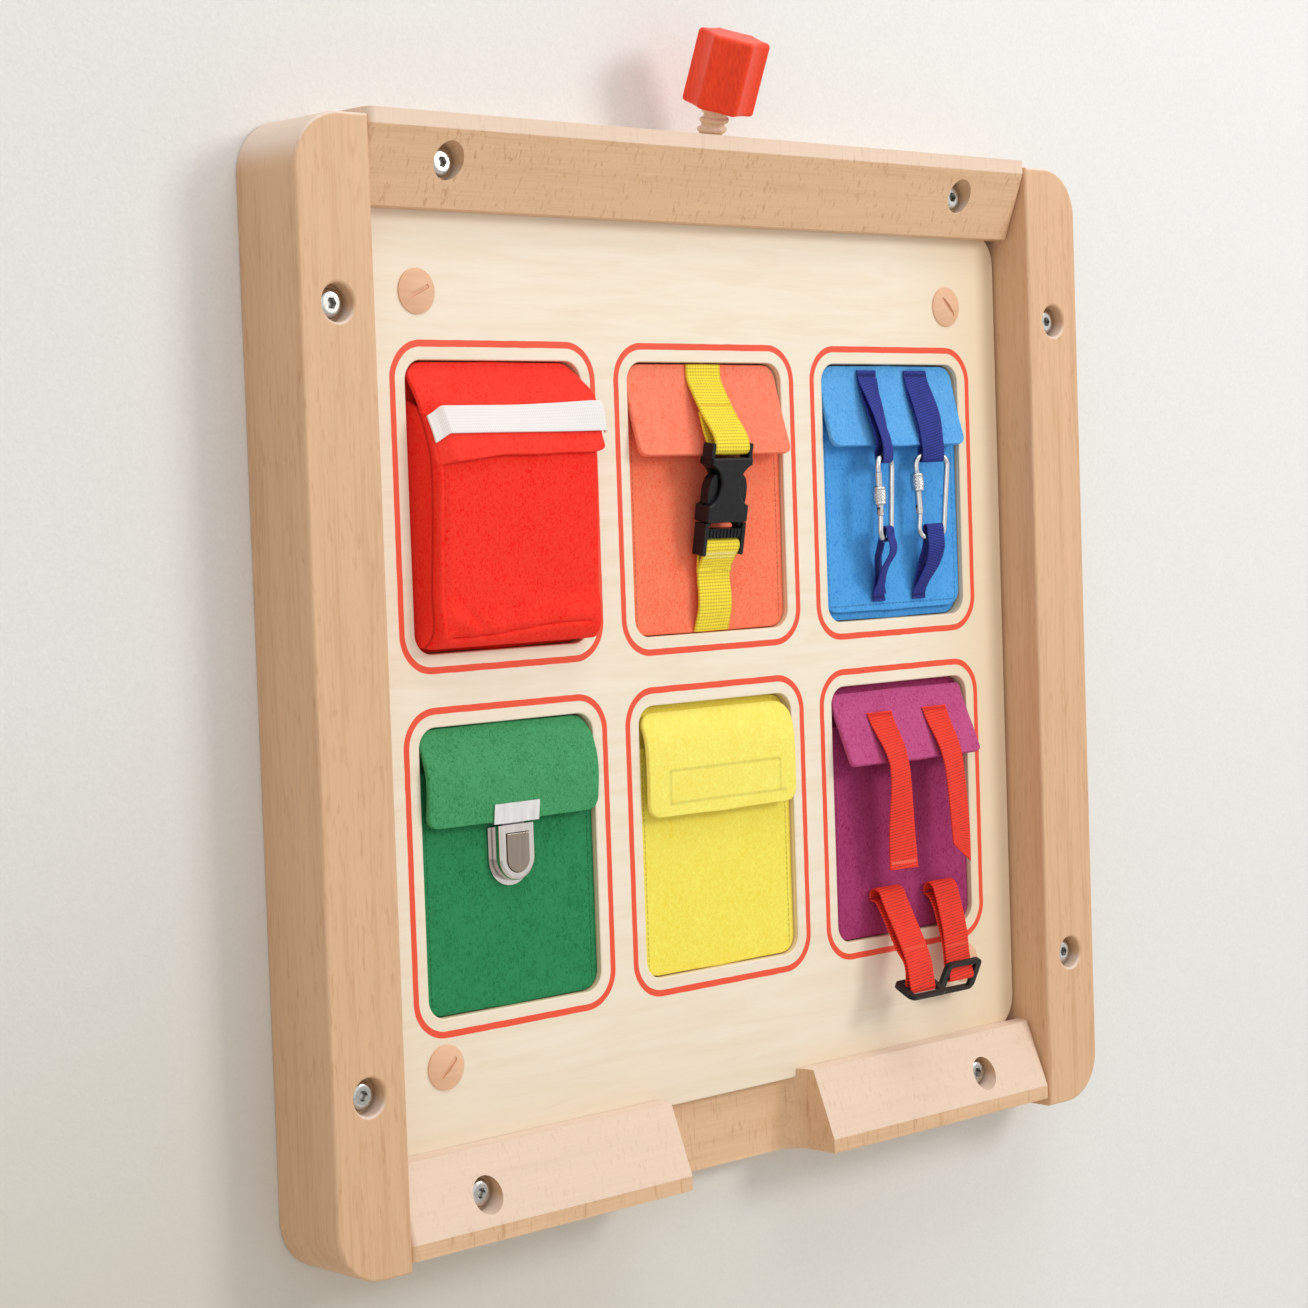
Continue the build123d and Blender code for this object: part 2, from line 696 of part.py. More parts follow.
loop_r = bar_r + webbing_gap + webbing_thick / 2
bar_h, bar_z = on_buckle(socket_bar_v)
with BuildPart() as upper_webbing:
    front = [(17.0 + webbing_thick / 2, fold)]
    front += drawn([(17.2 + webbing_thick / 2, 62.5), (21.0, 56.0), (27.6, 45.0)])
    front += arc(bar_h, bar_z, loop_r, 8, -85)
    back = arc(bar_h, bar_z, loop_r, -95, -188) + drawn([(29.4, 35.0), (26.6, 44.2)])
    with BuildSketch(side(wx)):
        for strand in (front, back, arc(bar_h, bar_z, loop_r, -75, -105)):
            with BuildLine():
                Polyline(*ribbon(at("orange", strand), webbing_thick), close=True)
            make_face()
    extrude(amount=webbing_width / 2, both=True)
save(upper_webbing, "upper_webbing")

bar_h, bar_z = on_buckle(plug_bar_v)
with BuildPart() as lower_webbing:
    front = arc(bar_h, bar_z, loop_r, 80, -20)
    front += drawn([(25.6, -32.0), (22.4, -38.5), (20.4, -46.0), (19.6, -54.0), (18.2, -63.0)])
    front += [(17.75, -fold)]
    back = arc(bar_h, bar_z, loop_r, 100, 190) + drawn([(21.6, -31.0), (21.0, -38.5)])
    with BuildSketch(side(wx)):
        for strand in (front, back, arc(bar_h, bar_z, loop_r, 70, 110)):
            with BuildLine():
                Polyline(*ribbon(at("orange", strand), webbing_thick), close=True)
            make_face()
    extrude(amount=webbing_width / 2, both=True)
save(lower_webbing, "lower_webbing")

# ---------------------------------------------------------------- ribbon loops and carabiners
wx, wz = windows["blue"]
wire_r = 1.6
gate_r = 2.0
gate_bore = 2.05
sleeve_r = 3.8
sleeve_length = 10.0
gate_pin_r = 0.8
pin_local = (-8.8, -10.5)
top_corner = (-10.9, 19.4)
gate_angle = (top_corner[0] - pin_local[0]) / (top_corner[1] - pin_local[1])
gate_run = (1 + gate_angle**2) ** 0.5
gate_top = 10.7
ribbon_thick = 0.8
wire_ribbon = 14.2         # width of the upper ribbons in the wire's top
lower_ribbon = 10.0
carabiners = {
    "left": {"x": -18.0, "height": 29.6, "turn": -21.0, "sleeve": -2.0, "ribbon": 15.5,
             "top_x": -18.0, "low_x": -13.0},
    "right": {"x": 22.0, "height": 28.6, "turn": 15.0, "sleeve": 4.7, "ribbon": 18.4,
              "top_x": 22.0, "low_x": 20.0},
}


def turned(data):
    """Upright plane of one carabiner, turned about the vertical; its X runs along the width."""
    a = radians(data["turn"])
    return Plane(
        origin=(wx + data["x"], -data["height"], wz), x_dir=(cos(a), -sin(a), 0), z_dir=(-sin(a), -cos(a), 0)
    )


def level(x, h, z, turn):
    """Level plane at (x, height, z) with its X along a carabiner's width."""
    a = radians(turn)
    return Plane(origin=(wx + x, -h, wz + z), x_dir=(cos(a), -sin(a), 0), z_dir=(0, 0, 1))


def along_gate(z):
    """X of the gate's middle line at a height z of the carabiner."""
    return pin_local[0] + (z - pin_local[1]) * gate_angle


for name, data in carabiners.items():
    plane = turned(data)
    along = plane.x_dir * gate_angle + Vector(0, 0, 1)
    nose = (along_gate(11.0), 11.0)
    root = (along_gate(-13.4), -13.4)
    with BuildPart() as body:
        with BuildLine(plane):
            FilletPolyline(nose, top_corner, (10.9, 19.4), (6.6, -26.4), (-9.9, -26.4), root, radius=5.6)
        start = plane.from_local_coords((nose[0], nose[1], 0))
        with BuildSketch(Plane(origin=start, x_dir=plane.z_dir, z_dir=along)):
            Circle(wire_r)
        sweep()
        with BuildSketch(plane):
            with Locations((along_gate(-11.4), -11.6)):
                Rectangle(2.6, 5.4)
            fillet(vertices().group_by(Axis.Y)[-1], 1.2)
        extrude(amount=0.8, both=True)
        with BuildSketch(plane):
            with Locations(pin_local):
                Circle(gate_pin_r)
        extrude(amount=wire_r, both=True, mode=Mode.SUBTRACT)
    save(body, "carabiner_" + name)

    pin_point = plane.from_local_coords((pin_local[0], pin_local[1], 0))
    gate_plane = Plane(origin=pin_point, x_dir=plane.z_dir, z_dir=along)
    with BuildPart() as gate:
        with BuildSketch(gate_plane.offset(-2.3)):
            Circle(gate_r)
        extrude(amount=(gate_top - pin_local[1]) * gate_run + 2.3)
        with BuildSketch(plane):
            with Locations((along_gate(-11.0), -11.0)):
                Rectangle(6.0, 5.8)
        extrude(amount=0.9, both=True, mode=Mode.SUBTRACT)
        with BuildSketch(plane):
            with Locations(pin_local):
                Circle(gate_pin_r + 0.03)
        extrude(amount=gate_r + 1, both=True, mode=Mode.SUBTRACT)
    save(gate, "carabiner_gate_" + name)

    with BuildPart() as sleeve:
        middle = (data["sleeve"] - pin_local[1]) * gate_run
        with BuildSketch(gate_plane.offset(middle - sleeve_length / 2)):
            Circle(sleeve_r)
            Circle(gate_bore, mode=Mode.SUBTRACT)
        extrude(amount=sleeve_length)
        rims = [e for e in edges().filter_by(GeomType.CIRCLE) if e.radius > gate_r + 1]
        chamfer(rims, 0.6)
    save(sleeve, "carabiner_sleeve_" + name)

with BuildPart() as gate_pins:
    for data in carabiners.values():
        with BuildSketch(turned(data)):
            with Locations(pin_local):
                Circle(gate_pin_r)
        extrude(amount=gate_r - 0.1, both=True)
save(gate_pins, "gate_pins")

for name, data in carabiners.items():
    x, turn, hang = data["x"], data["turn"], data["height"]
    strip = ribbon_thick + 0.1
    # upper loop: two strands from the stitched end on the flap to a fold under the top wire
    bend = wire_r + 0.35 + ribbon_thick / 2
    bend_z = 18.3
    with BuildPart() as loop:
        for stations in (
            [(17.9, 66.0 * stretch, 0.0), (22.9, 52.0 * stretch, 0.1), (28.0, 38.0 * stretch, 0.4),
             (hang + 1.6, 28.5 * stretch, 0.8), (hang + bend + 0.2, bend_z + 3.0, 1.0), (hang + bend, bend_z, 1.0)],
            [(17.9, 66.0 * stretch, 0.0), (20.0, 56.0 * stretch, 0.05), (24.9, 42.0 * stretch, 0.2),
             (28.4, 28.5 * stretch, 0.3), (28.4, 26.6 * stretch, 0.3), (hang - bend - 0.2, bend_z + 3.0, 1.0),
             (hang - bend, bend_z, 1.0)],
        ):
            for h, z, share in stations:
                mid_x = data["top_x"] + (x - data["top_x"]) * share
                with BuildSketch(level(mid_x, h, z, turn * share)):
                    Rectangle(data["ribbon"] + (wire_ribbon - data["ribbon"]) * share, strip)
            loft(ruled=True)
        with BuildSketch(height(17.1)):
            with Locations((wx + data["top_x"], wz + 66.4 * stretch)):
                Rectangle(data["ribbon"], 3.0)
        extrude(amount=ribbon_thick + 0.5)
        fold_plane = Plane(
            origin=level(x, hang, bend_z, turn).origin,
            x_dir=level(x, 0, 0, turn).y_dir,
            z_dir=level(x, 0, 0, turn).x_dir,
        )
        with BuildSketch(fold_plane):
            Circle(bend + strip / 2)
            Circle(bend - strip / 2, mode=Mode.SUBTRACT)
            with Locations((0, 10)):
                Rectangle(20, 20, mode=Mode.SUBTRACT)
        extrude(amount=wire_ribbon / 2, both=True)
    save(loop, "upper_loop_" + name)
    # lower loop: two strands from the pocket front to a fold standing in the carabiner's foot
    low_z = -21.4
    with BuildPart() as loop:
        for stations in (
            [(17.9, -57.6 * stretch, 0.0), (22.5, -50.0 * stretch, 0.4), (hang - 0.6, -40.0 * stretch, 0.8),
             (hang + bend, -30.0 * stretch, 1.0), (hang + bend, low_z, 1.0)],
            [(17.9, -57.6 * stretch, 0.0), (19.8, -49.0 * stretch, 0.4), (23.2, -37.0 * stretch, 0.8),
             (hang - bend, low_z, 1.0)],
        ):
            for h, z, share in stations:
                mid_x = data["low_x"] + (x - data["low_x"]) * share
                with BuildSketch(level(mid_x, h, z, turn * share)):
                    Rectangle(lower_ribbon, strip)
            loft(ruled=True)
        with BuildSketch(height(17.0)):
            with Locations((wx + data["low_x"], wz - 58.6 * stretch)):
                Rectangle(lower_ribbon, 4.0)
        extrude(amount=ribbon_thick + 0.5)
        fold_plane = Plane(
            origin=level(x, hang, low_z, turn).origin,
            x_dir=level(x, 0, 0, turn).y_dir,
            z_dir=level(x, 0, 0, turn).x_dir,
        )
        with BuildSketch(fold_plane):
            Circle(bend + strip / 2)
            Circle(bend - strip / 2, mode=Mode.SUBTRACT)
            with Locations((0, -10)):
                Rectangle(20, 20, mode=Mode.SUBTRACT)
        extrude(amount=lower_ribbon / 2, both=True)
    save(loop, "lower_loop_" + name)

# ---------------------------------------------------------------- tuck clasp
wx, wz = windows["green"]
clasp_tilt = radians(6.6)
plate_half = 14.5
plate_thick = 1.0
clasp = Plane(
    origin=(wx, -21.7, wz + 22.0), x_dir=(1, 0, 0), z_dir=(0, -cos(clasp_tilt), -sin(clasp_tilt))
)
tongue_half = 7.0
tongue_low = -11.0
case_high = 19.6
case_front = 24.0
case_wall = 0.8
button_travel = 1.2


def shield(half, top, foot, waist):
    """Shield outline: straight top and sides, round foot."""
    Line((wx - half, wz + top), (wx + half, wz + top))
    Line((wx + half, wz + top), (wx + half, wz + waist))
    ThreePointArc((wx + half, wz + waist), (wx, wz + foot), (wx - half, wz + waist))
    Line((wx - half, wz + waist), (wx - half, wz + top))


with BuildPart() as clasp_plate:
    with BuildSketch(Plane(origin=clasp.origin, x_dir=-clasp.z_dir, z_dir=(1, 0, 0))):
        u = felt / 2 + plate_thick
        with Locations((0, 3.9)):
            Rectangle(2 * u, 10.0)
        with Locations((0, 5.0)):
            Rectangle(felt + 0.06, 10.0, mode=Mode.SUBTRACT)
    extrude(amount=plate_half, both=True)
    with BuildSketch(clasp.offset(-1.6)):
        with Locations((0, tongue_low / 2)):
            Rectangle(2 * tongue_half, -tongue_low)
        fillet(vertices().group_by(Axis.Y)[0], 1.5)
        with Locations((0, tongue_low + 3.4)):
            Rectangle(5.0, 2.2, mode=Mode.SUBTRACT)
    extrude(amount=1.2)
save(clasp_plate, "clasp_plate")

with BuildPart() as clasp_receiver:
    with BuildSketch(height(seat + felt)):
        with BuildLine():
            shield(13.8, case_high - 1.0, -11.0, 4.0)
        make_face()
    extrude(amount=1.0)
    with BuildSketch(height(seat + felt + 1.0)):
        with BuildLine():
            shield(11.4, case_high, -8.2, 3.0)
        make_face()
    extrude(amount=case_front - seat - felt - 1.0)
    case_rim = faces().sort_by(Axis.Y)[0].edges().sort_by(Axis.Z)[:-1]
    fillet(case_rim, 1.4)
    with BuildSketch(height(seat + felt + 1.0)):
        with BuildLine():
            shield(10.0, case_high - 0.9, -6.6, 2.6)
        make_face()
    extrude(amount=case_front - seat - felt - 1.0 - case_wall, mode=Mode.SUBTRACT)
    with BuildSketch(height(18.4)):
        with Locations((wx, wz + case_high)):
            Rectangle(2 * (tongue_half + 0.4), 3.0)
    extrude(amount=3.4, mode=Mode.SUBTRACT)
    with BuildSketch(height(case_front - 2)):
        with BuildLine():
            shield(7.4, case_high - 3.9, -4.5, 1.8)
        make_face()
    extrude(amount=4.0, mode=Mode.SUBTRACT)
    with BuildSketch(height(seat)):
        for x, z in clasp_rivets:
            with Locations((wx + x, wz + z)):
                Circle(rivet_d / 2)
    extrude(amount=felt)
save(clasp_receiver, "clasp_receiver")

with BuildPart() as clasp_button:
    with BuildSketch(height(case_front - case_wall - 0.3)):
        with BuildLine():
            shield(7.1, case_high - 4.2, -4.2, 1.6)
        make_face()
    extrude(amount=case_wall + 1.1)
    fillet(faces().sort_by(Axis.Y)[0].edges(), 0.5)
    with BuildSketch(height(case_front - case_wall - 0.1)):
        with BuildLine():
            shield(8.3, 7.0, -5.2, 1.6)
        make_face()
    extrude(amount=-0.9)
save(clasp_button, "clasp_button")

button_back = case_front - case_wall - 1.0
with BuildPart() as clasp_spring:
    floor = seat + felt + 1.0
    leaf = [(floor + 0.2, -2.6), (floor + 0.7, -1.8), (button_back - 0.9, 0.2), (button_back - 0.2, 1.5),
            (button_back - 0.9, 2.8), (floor + 0.7, 4.8), (floor + 0.2, 5.6)]
    with BuildSketch(side(wx)):
        with BuildLine():
            Polyline(*ribbon(at("green", leaf), 0.4), close=True)
        make_face()
    extrude(amount=2.4, both=True)
save(clasp_spring, "clasp_spring")

with BuildPart() as clasp_backplate:
    with BuildSketch(height(seat + pocket_slot / 2 - 0.5)):
        with Locations((wx, wz + 3.0)):
            RectangleRounded(18.0, 9.0, 2.0)
        for x, z in clasp_rivets:
            with Locations((wx + x, wz + z)):
                Circle(rivet_d / 2, mode=Mode.SUBTRACT)
    extrude(amount=0.5)
save(clasp_backplate, "clasp_backplate")

# ---------------------------------------------------------------- hook and loop patches
wx, wz = windows["yellow"]
patch_width = window_width - 30.0
patch_high = 17.0
patch_mid = (1.0, 27.1)
hook_height = 22.9 - felt / 2
loop_high = hook_height - body_clear - seat - felt
with BuildPart() as loop_patch:
    with BuildSketch(height(seat + felt)):
        with Locations((wx + patch_mid[0], wz + patch_mid[1])):
            RectangleRounded(patch_width, patch_high, 1.0)
    extrude(amount=loop_high / 2)
save(loop_patch, "loop_patch")

with BuildPart() as hook_patch:
    with BuildSketch(height(seat + felt + loop_high / 2 + body_clear)):
        with Locations((wx + patch_mid[0], wz + patch_mid[1])):
            RectangleRounded(patch_width, patch_high, 1.0)
    extrude(amount=hook_height - (seat + felt + loop_high / 2 + body_clear))
save(hook_patch, "hook_patch")

# ---------------------------------------------------------------- straps and slider buckles
wx, wz = windows["purple"]
strap_width = 20.0
strap_thick = 0.9
long_straps = {
    "left": (-20.1, [(22.0, 54.6), (24.1, 49.5), (28.2, 42.5), (32.6, 35.0), (35.4, 27.0), (36.4, 16.0),
                     (35.4, 0.0), (34.2, -16.0), (33.6, -32.0)]),
    "right": (25.4, [(22.0, 54.6), (24.1, 49.5), (27.8, 42.5), (32.0, 35.0), (35.0, 27.0), (37.2, 14.0),
                     (38.6, 0.0), (39.6, -16.0), (40.2, -33.0)]),
}
for name, (x, points) in long_straps.items():
    path = drawn(points)
    with BuildPart() as strap:
        with BuildSketch(side(wx + x)):
            with BuildLine():
                Polyline(*ribbon(at("purple", path), strap_thick), close=True)
            make_face()
        extrude(amount=strap_width / 2, both=True)
    save(strap, "long_strap_" + name)

slider_width = 30.0
slider_bar = 2.8
slider_thick = 2.4
slider_slot = 21.0
short_straps = {
    "left": {
        "x": -18.0, "slider": (44.6, -97.5), "tilt": 62.0, "tall": 16.0,
        "front": [(17.5, -48.5), (18.2, -45.2), (21.0, -43.2), (24.4, -44.6), (27.6, -50.5), (32.6, -60.0),
                  (38.5, -70.5), (43.6, -81.5)],
        "back": [(17.9, -49.6), (21.4, -50.4), (25.6, -56.0), (30.6, -65.0), (36.6, -76.0), (41.9, -83.0)],
    },
    "right": {
        "x": 27.0, "slider": (33.8, -98.0), "tilt": -25.0, "tall": 20.0,
        "front": [(17.5, -50.0), (18.2, -46.6), (20.8, -44.6), (23.8, -46.0), (26.4, -52.0), (29.2, -62.0),
                  (31.7, -73.0), (33.2, -86.5)],
        "back": [(17.9, -51.2), (20.8, -52.4), (23.9, -57.0), (27.0, -66.0), (29.9, -76.0), (31.5, -87.1)],
    },
}
centre_bar = slider_thick / 2
strap_r = centre_bar + 0.3 + strap_thick / 2
for name, data in short_straps.items():
    bar_h, bar_z = drawn([data["slider"]])[0]
    with BuildPart() as strap:
        wrap = arc(bar_h, bar_z, strap_r, 20, -80)
        rear_wrap = arc(bar_h, bar_z, strap_r, -100, -190)
        with BuildSketch(side(wx + data["x"])):
            strands = (
                drawn(data["front"]) + wrap,
                drawn(data["back"]) + rear_wrap[::-1],
                arc(bar_h, bar_z, strap_r, -70, -110),
            )
            for strand in strands:
                with BuildLine():
                    Polyline(*ribbon(at("purple", strand), strap_thick), close=True)
                make_face()
        extrude(amount=strap_width / 2, both=True)
    save(strap, "short_strap_" + name)

    t = radians(data["tilt"])
    centre = Plane(
        origin=(wx + data["x"], -bar_h, wz + bar_z), x_dir=(1, 0, 0), z_dir=(0, -cos(t), sin(t))
    )
    with BuildPart() as slider:
        with BuildSketch(centre):
            RectangleRounded(slider_width, data["tall"], 4.0)
            slot_tall = (data["tall"] - 3 * slider_bar) / 2
            with Locations((0, (slot_tall + slider_bar) / 2), (0, -(slot_tall + slider_bar) / 2)):
                RectangleRounded(slider_slot, slot_tall, 0.3, mode=Mode.SUBTRACT)
        extrude(amount=slider_thick / 2, both=True)
        with BuildSketch(centre):
            Rectangle(slider_slot, slider_bar, mode=Mode.ADD)
        extrude(amount=slider_thick, both=True, mode=Mode.SUBTRACT)
        with BuildSketch(Plane(origin=centre.origin, x_dir=(0, 1, 0), z_dir=(1, 0, 0))):
            Circle(centre_bar)
        extrude(amount=slider_slot / 2 + 1, both=True)
    save(slider, "slider_" + name)
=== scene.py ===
# %% [markdown]
# # Dressing a dressing board
#
# The board hangs on a wall: a beech frame, a plywood panel that slides in it, and six felt
# wallets that each close in their own way. The rigid parts arrive as solids from the CAD
# frame. This lesson gives them wood, metal and plastic, and makes every soft part anew, as
# cloth has to bend. All lengths below are in millimetres, in the frame of the CAD model:
# +X to the right, +Z up, the wall at y = 0. A "height" is a distance from the wall.

# %% Load the frame and keep its box
import bmesh
import bpy
import numpy as np
from math import cos, radians, sin
from mathutils import Matrix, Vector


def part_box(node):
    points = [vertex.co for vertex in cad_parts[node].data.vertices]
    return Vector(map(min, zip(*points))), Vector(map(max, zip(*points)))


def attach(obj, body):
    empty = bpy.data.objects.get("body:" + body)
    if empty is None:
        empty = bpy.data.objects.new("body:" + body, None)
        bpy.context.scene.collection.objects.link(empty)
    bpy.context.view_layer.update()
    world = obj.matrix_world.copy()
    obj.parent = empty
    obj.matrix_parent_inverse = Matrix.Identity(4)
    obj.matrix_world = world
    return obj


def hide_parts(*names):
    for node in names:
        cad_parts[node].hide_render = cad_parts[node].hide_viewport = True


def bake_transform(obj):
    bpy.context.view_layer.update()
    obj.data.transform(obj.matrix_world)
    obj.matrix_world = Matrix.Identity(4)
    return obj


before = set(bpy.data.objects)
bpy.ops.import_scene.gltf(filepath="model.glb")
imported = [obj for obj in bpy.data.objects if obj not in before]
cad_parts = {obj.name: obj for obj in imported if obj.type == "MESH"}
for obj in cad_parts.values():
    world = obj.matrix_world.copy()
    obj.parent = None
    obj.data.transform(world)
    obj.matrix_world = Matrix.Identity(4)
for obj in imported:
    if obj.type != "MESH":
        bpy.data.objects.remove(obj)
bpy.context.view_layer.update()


# %% [markdown]
# ## The camera
#
# The board is seen from its left, a little above its middle. A long lens keeps the uprights
# parallel. The three columns of the matrix are the camera's right, up and back.

# %% Camera
camera = bpy.data.objects.new("camera", bpy.data.cameras.new("camera"))
bpy.context.scene.collection.objects.link(camera)
camera.data.lens = 80.38
camera.data.sensor_width = 36.0
right = (0.72726, -0.68550, -0.03441)
up = (0.06111, 0.01474, 0.99802)
back = (-0.68363, -0.72793, 0.05261)
place = (-1.0718, -1.1145, 0.0881)
camera.matrix_world = Matrix([[*row, 0.0] for row in zip(right, up, back)] + [[0, 0, 0, 1]])
camera.matrix_world.translation = place
bpy.context.scene.camera = camera
print("camera", place)

# %% [markdown]
# ## Finishes from nodes
#
# Every surface gets a procedural finish. One small class keeps that short: it holds a
# Principled shader, adds pattern nodes by name, and links whatever is given as an input.
# Colours are written as they look on a screen, from 0 to 255, and turned into light.


# %% The finish helper
def light_of(rgb, gain=1.0):
    """Screen colour 0-255 to linear light: the inverse of the screen's curve, times a gain."""
    c = np.array(rgb, float) / 255
    c = np.where(c <= 0.04045, c / 12.92, ((c + 0.055) / 1.055) ** 2.4) * gain
    return (*[float(min(v, 1.0)) for v in c], 1.0)


class Finish:
    """A named material: a Principled shader and the pattern nodes that feed it."""

    def __init__(self, name, **sockets):
        self.material = bpy.data.materials.new(name)
        self.material.use_nodes = True
        self.tree = self.material.node_tree
        self.shader = self.tree.nodes["Principled BSDF"]
        for socket, value in sockets.items():
            self.shader.inputs[socket.replace("_", " ")].default_value = value

    def add(self, kind, inputs=(), **settings):
        """A node with its settings. inputs maps a socket to a value or to another node's output.
        Gives the node's first output."""
        node = self.tree.nodes.new("ShaderNode" + kind)
        for key, value in settings.items():
            setattr(node, key, value)
        for socket, value in dict(inputs).items():
            if isinstance(value, bpy.types.NodeSocket):
                self.tree.links.new(value, node.inputs[socket])
            else:
                node.inputs[socket].default_value = value
        return node.outputs[0]

    def math(self, operation, a, b=0.0, c=0.0):
        return self.add("Math", {0: a, 1: b, 2: c}, operation=operation)

    def plus(self, a, b):
        return self.math("ADD", a, b)

    def minus(self, a, b):
        return self.math("SUBTRACT", a, b)

    def times(self, a, b):
        return self.math("MULTIPLY", a, b)

    def fade(self, value, start, end, first, last):
        """first where value is start, last where it is end, even in between and steady beyond."""
        return self.add("MapRange", {0: value, 1: start, 2: end, 3: first, 4: last})

    def where(self, scale=(1, 1, 1), turn=(0, 0, 0), uv=False):
        """Object coordinates in millimetres, or the piece's own UV, scaled and turned."""
        if uv:
            source = self.add("UVMap", uv_map="cloth")
        else:
            source = self.tree.nodes.new("ShaderNodeTexCoord").outputs["Object"]
        return self.add("Mapping", {"Vector": source, "Scale": [1000.0 * s for s in scale],
                                    "Rotation": [radians(t) for t in turn]})

    def facing(self):
        """The x, y and z of the way the surface faces, in object coordinates."""
        return self.split(self.tree.nodes.new("ShaderNodeTexCoord").outputs["Normal"])

    def noise(self, at, scale, detail=3.0, rough=0.5, twist=0.0):
        """Cloudy values around 0.5, with scale clouds in each unit of at."""
        return self.add("TexNoise", {"Vector": at, "Scale": scale, "Detail": detail,
                                     "Roughness": rough, "Distortion": twist})

    def ramp(self, value, stops):
        """Colours along a value: stops are (position, colour)."""
        out = self.add("ValToRGB", {0: value})
        ramp = out.node.color_ramp
        while len(ramp.elements) < len(stops):
            ramp.elements.new(0.5)
        for element, (position, rgba) in zip(ramp.elements, stops):
            element.position = position
            element.color = rgba
        return out

    def blend(self, share, a, b):
        """Colour a where share is 0, colour b where it is 1."""
        node = self.add("Mix", data_type="RGBA").node
        for index, value in ((0, share), (6, a), (7, b)):
            if isinstance(value, bpy.types.NodeSocket):
                self.tree.links.new(value, node.inputs[index])
            else:
                node.inputs[index].default_value = value
        return node.outputs[2]

    def band(self, value, low, high, soft):
        """1 where value lies between low and high, with soft edges."""
        up = self.fade(value, low - soft, low + soft, 0.0, 1.0)
        down = self.fade(value, high - soft, high + soft, 1.0, 0.0)
        return self.times(up, down)

    def split(self, vector):
        """The x, y and z of a vector."""
        return self.add("SeparateXYZ", {0: vector}).node.outputs

    def colour(self, value):
        """The surface's colour."""
        self.tree.links.new(value, self.shader.inputs["Base Color"])

    def rough(self, value, low, high):
        """Roughness from low to high as value goes from 0 to 1."""
        out = self.fade(value, 0.0, 1.0, low, high)
        self.tree.links.new(out, self.shader.inputs["Roughness"])

    def bump(self, value, depth, strength=1.0):
        """Relief: value 0-1 stands for 0 to depth millimetres."""
        out = self.add("Bump", {"Strength": strength, "Distance": depth / 1000, "Height": value})
        self.tree.links.new(out, self.shader.inputs["Normal"])


def dress(finish, slot, *nodes):
    """Put a finish on CAD nodes. slot, the record's slot that it stands for, is not used."""
    for name in nodes:
        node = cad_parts[name]
        node.data.materials.clear()
        node.data.materials.append(finish.material)
    print(finish.material.name, "on", ", ".join(nodes))

# %% [markdown]
# ## Beech
#
# The posts and rails are planed beech: a pale pinkish wood whose grain runs with the length
# of each piece, and whose rays show as short darker flecks. Noise that is drawn out along
# the grain gives the growth bands. Noise drawn out upwards and cut off gives the flecks.
# Faces that look up, such as the two lips below, are painted paler, and so is the top rail's
# band: painted light from above, laid last over grain and flecks.


# %% Beech finish for posts and rails
def beech(name, pale, dark, along, fleck, tall=0.13, depth=0.05, lit_above=1000.0):
    """Bands and fine streaks are noise drawn out along the grain. Rays are noise drawn out upwards and cut
    off by a threshold; fleck is their strength and tall their stretch. Painted light from above: faces
    that look up, and everything above the level lit_above, are paler."""
    wood = Finish(name, Roughness=0.5, **{"Specular IOR Level": 0.45})

    def drawn_out(long, wide):
        return wood.where(tuple(long if axis == along else wide for axis in "xyz"))

    bands = wood.noise(drawn_out(0.006, 0.13), 1.0, 3.0, 0.5, 0.25)
    fine = wood.noise(drawn_out(0.03, 0.9), 1.0, 3.0, 0.6)
    grain = wood.plus(wood.times(bands, 0.45), wood.times(fine, 0.55))
    tint = wood.ramp(grain, [(0.36, light_of(dark)), (0.5, light_of(pale)), (0.66, light_of(pale, 1.05))])
    rays = wood.noise(wood.where((0.48, 0.48, 0.6 * tall)), 1.0, 2.0, 0.5, 0.3)
    small = wood.noise(wood.where((1.5, 1.5, 1.6 * tall)), 1.0, 2.0, 0.5)
    patches = wood.fade(wood.noise(wood.where(), 0.03, 2.0, 0.5), 0.35, 0.65, 0.45, 1.0)
    flecks = wood.fade(rays, 0.58, 0.69, 0.0, fleck)
    flecks = wood.plus(flecks, wood.fade(small, 0.5, 0.75, 0.0, 0.4 * fleck))
    tint = wood.blend(wood.times(flecks, patches), tint, light_of((190, 138, 92)))
    # painted light: faces that look up, and the top rail's band above lit_above, blend towards a pale lit
    # colour
    lit_facing_up = wood.fade(wood.facing()[2], 0.06, 0.5, 0.0, 0.72)
    top = wood.fade(wood.split(wood.where())[2], lit_above - 0.4, lit_above + 0.4, 0.0, 0.5)
    wood.colour(wood.blend(wood.math("MAXIMUM", lit_facing_up, top), tint, light_of((236, 219, 206))))
    wood.rough(fine, 0.42, 0.6)
    wood.bump(fine, depth, 0.5)
    return wood


post_beech = beech("beech_post", (219, 177, 138), (209, 164, 123), "z", 0.42, 0.14)
rail_beech = beech("beech_rail", (223, 184, 145), (216, 175, 134), "x", 0.6, 0.11, lit_above=266.0)
dress(post_beech, "beech", "left_post", "right_post")
dress(rail_beech, "beech_rail", "top_rail", "bottom_rail")
dress(beech("dowel_beech", (222, 186, 150), (205, 162, 124), "x", 0.3), "dowel", "frame_dowels")

# %% [markdown]
# ## The plywood panel
#
# The panel is birch plywood: a creamy face with faint grain, and stripes of the glued plies
# on every cut edge. A thin red line is painted round each window. The line needs no drawing:
# the distance to a rounded rectangle is worked out from the coordinates, folded so that one
# rectangle serves all six windows, and the line shows where that distance is small.


# %% Plywood with its painted outlines
column_pitch, row_pitch = 144.0, 176.5
outline_half_wide, outline_half_tall, outline_corner, outline_width = 64.0, 78.5, 18.0, 3.4
panel_front, ply_thick = -19.2, 1.5


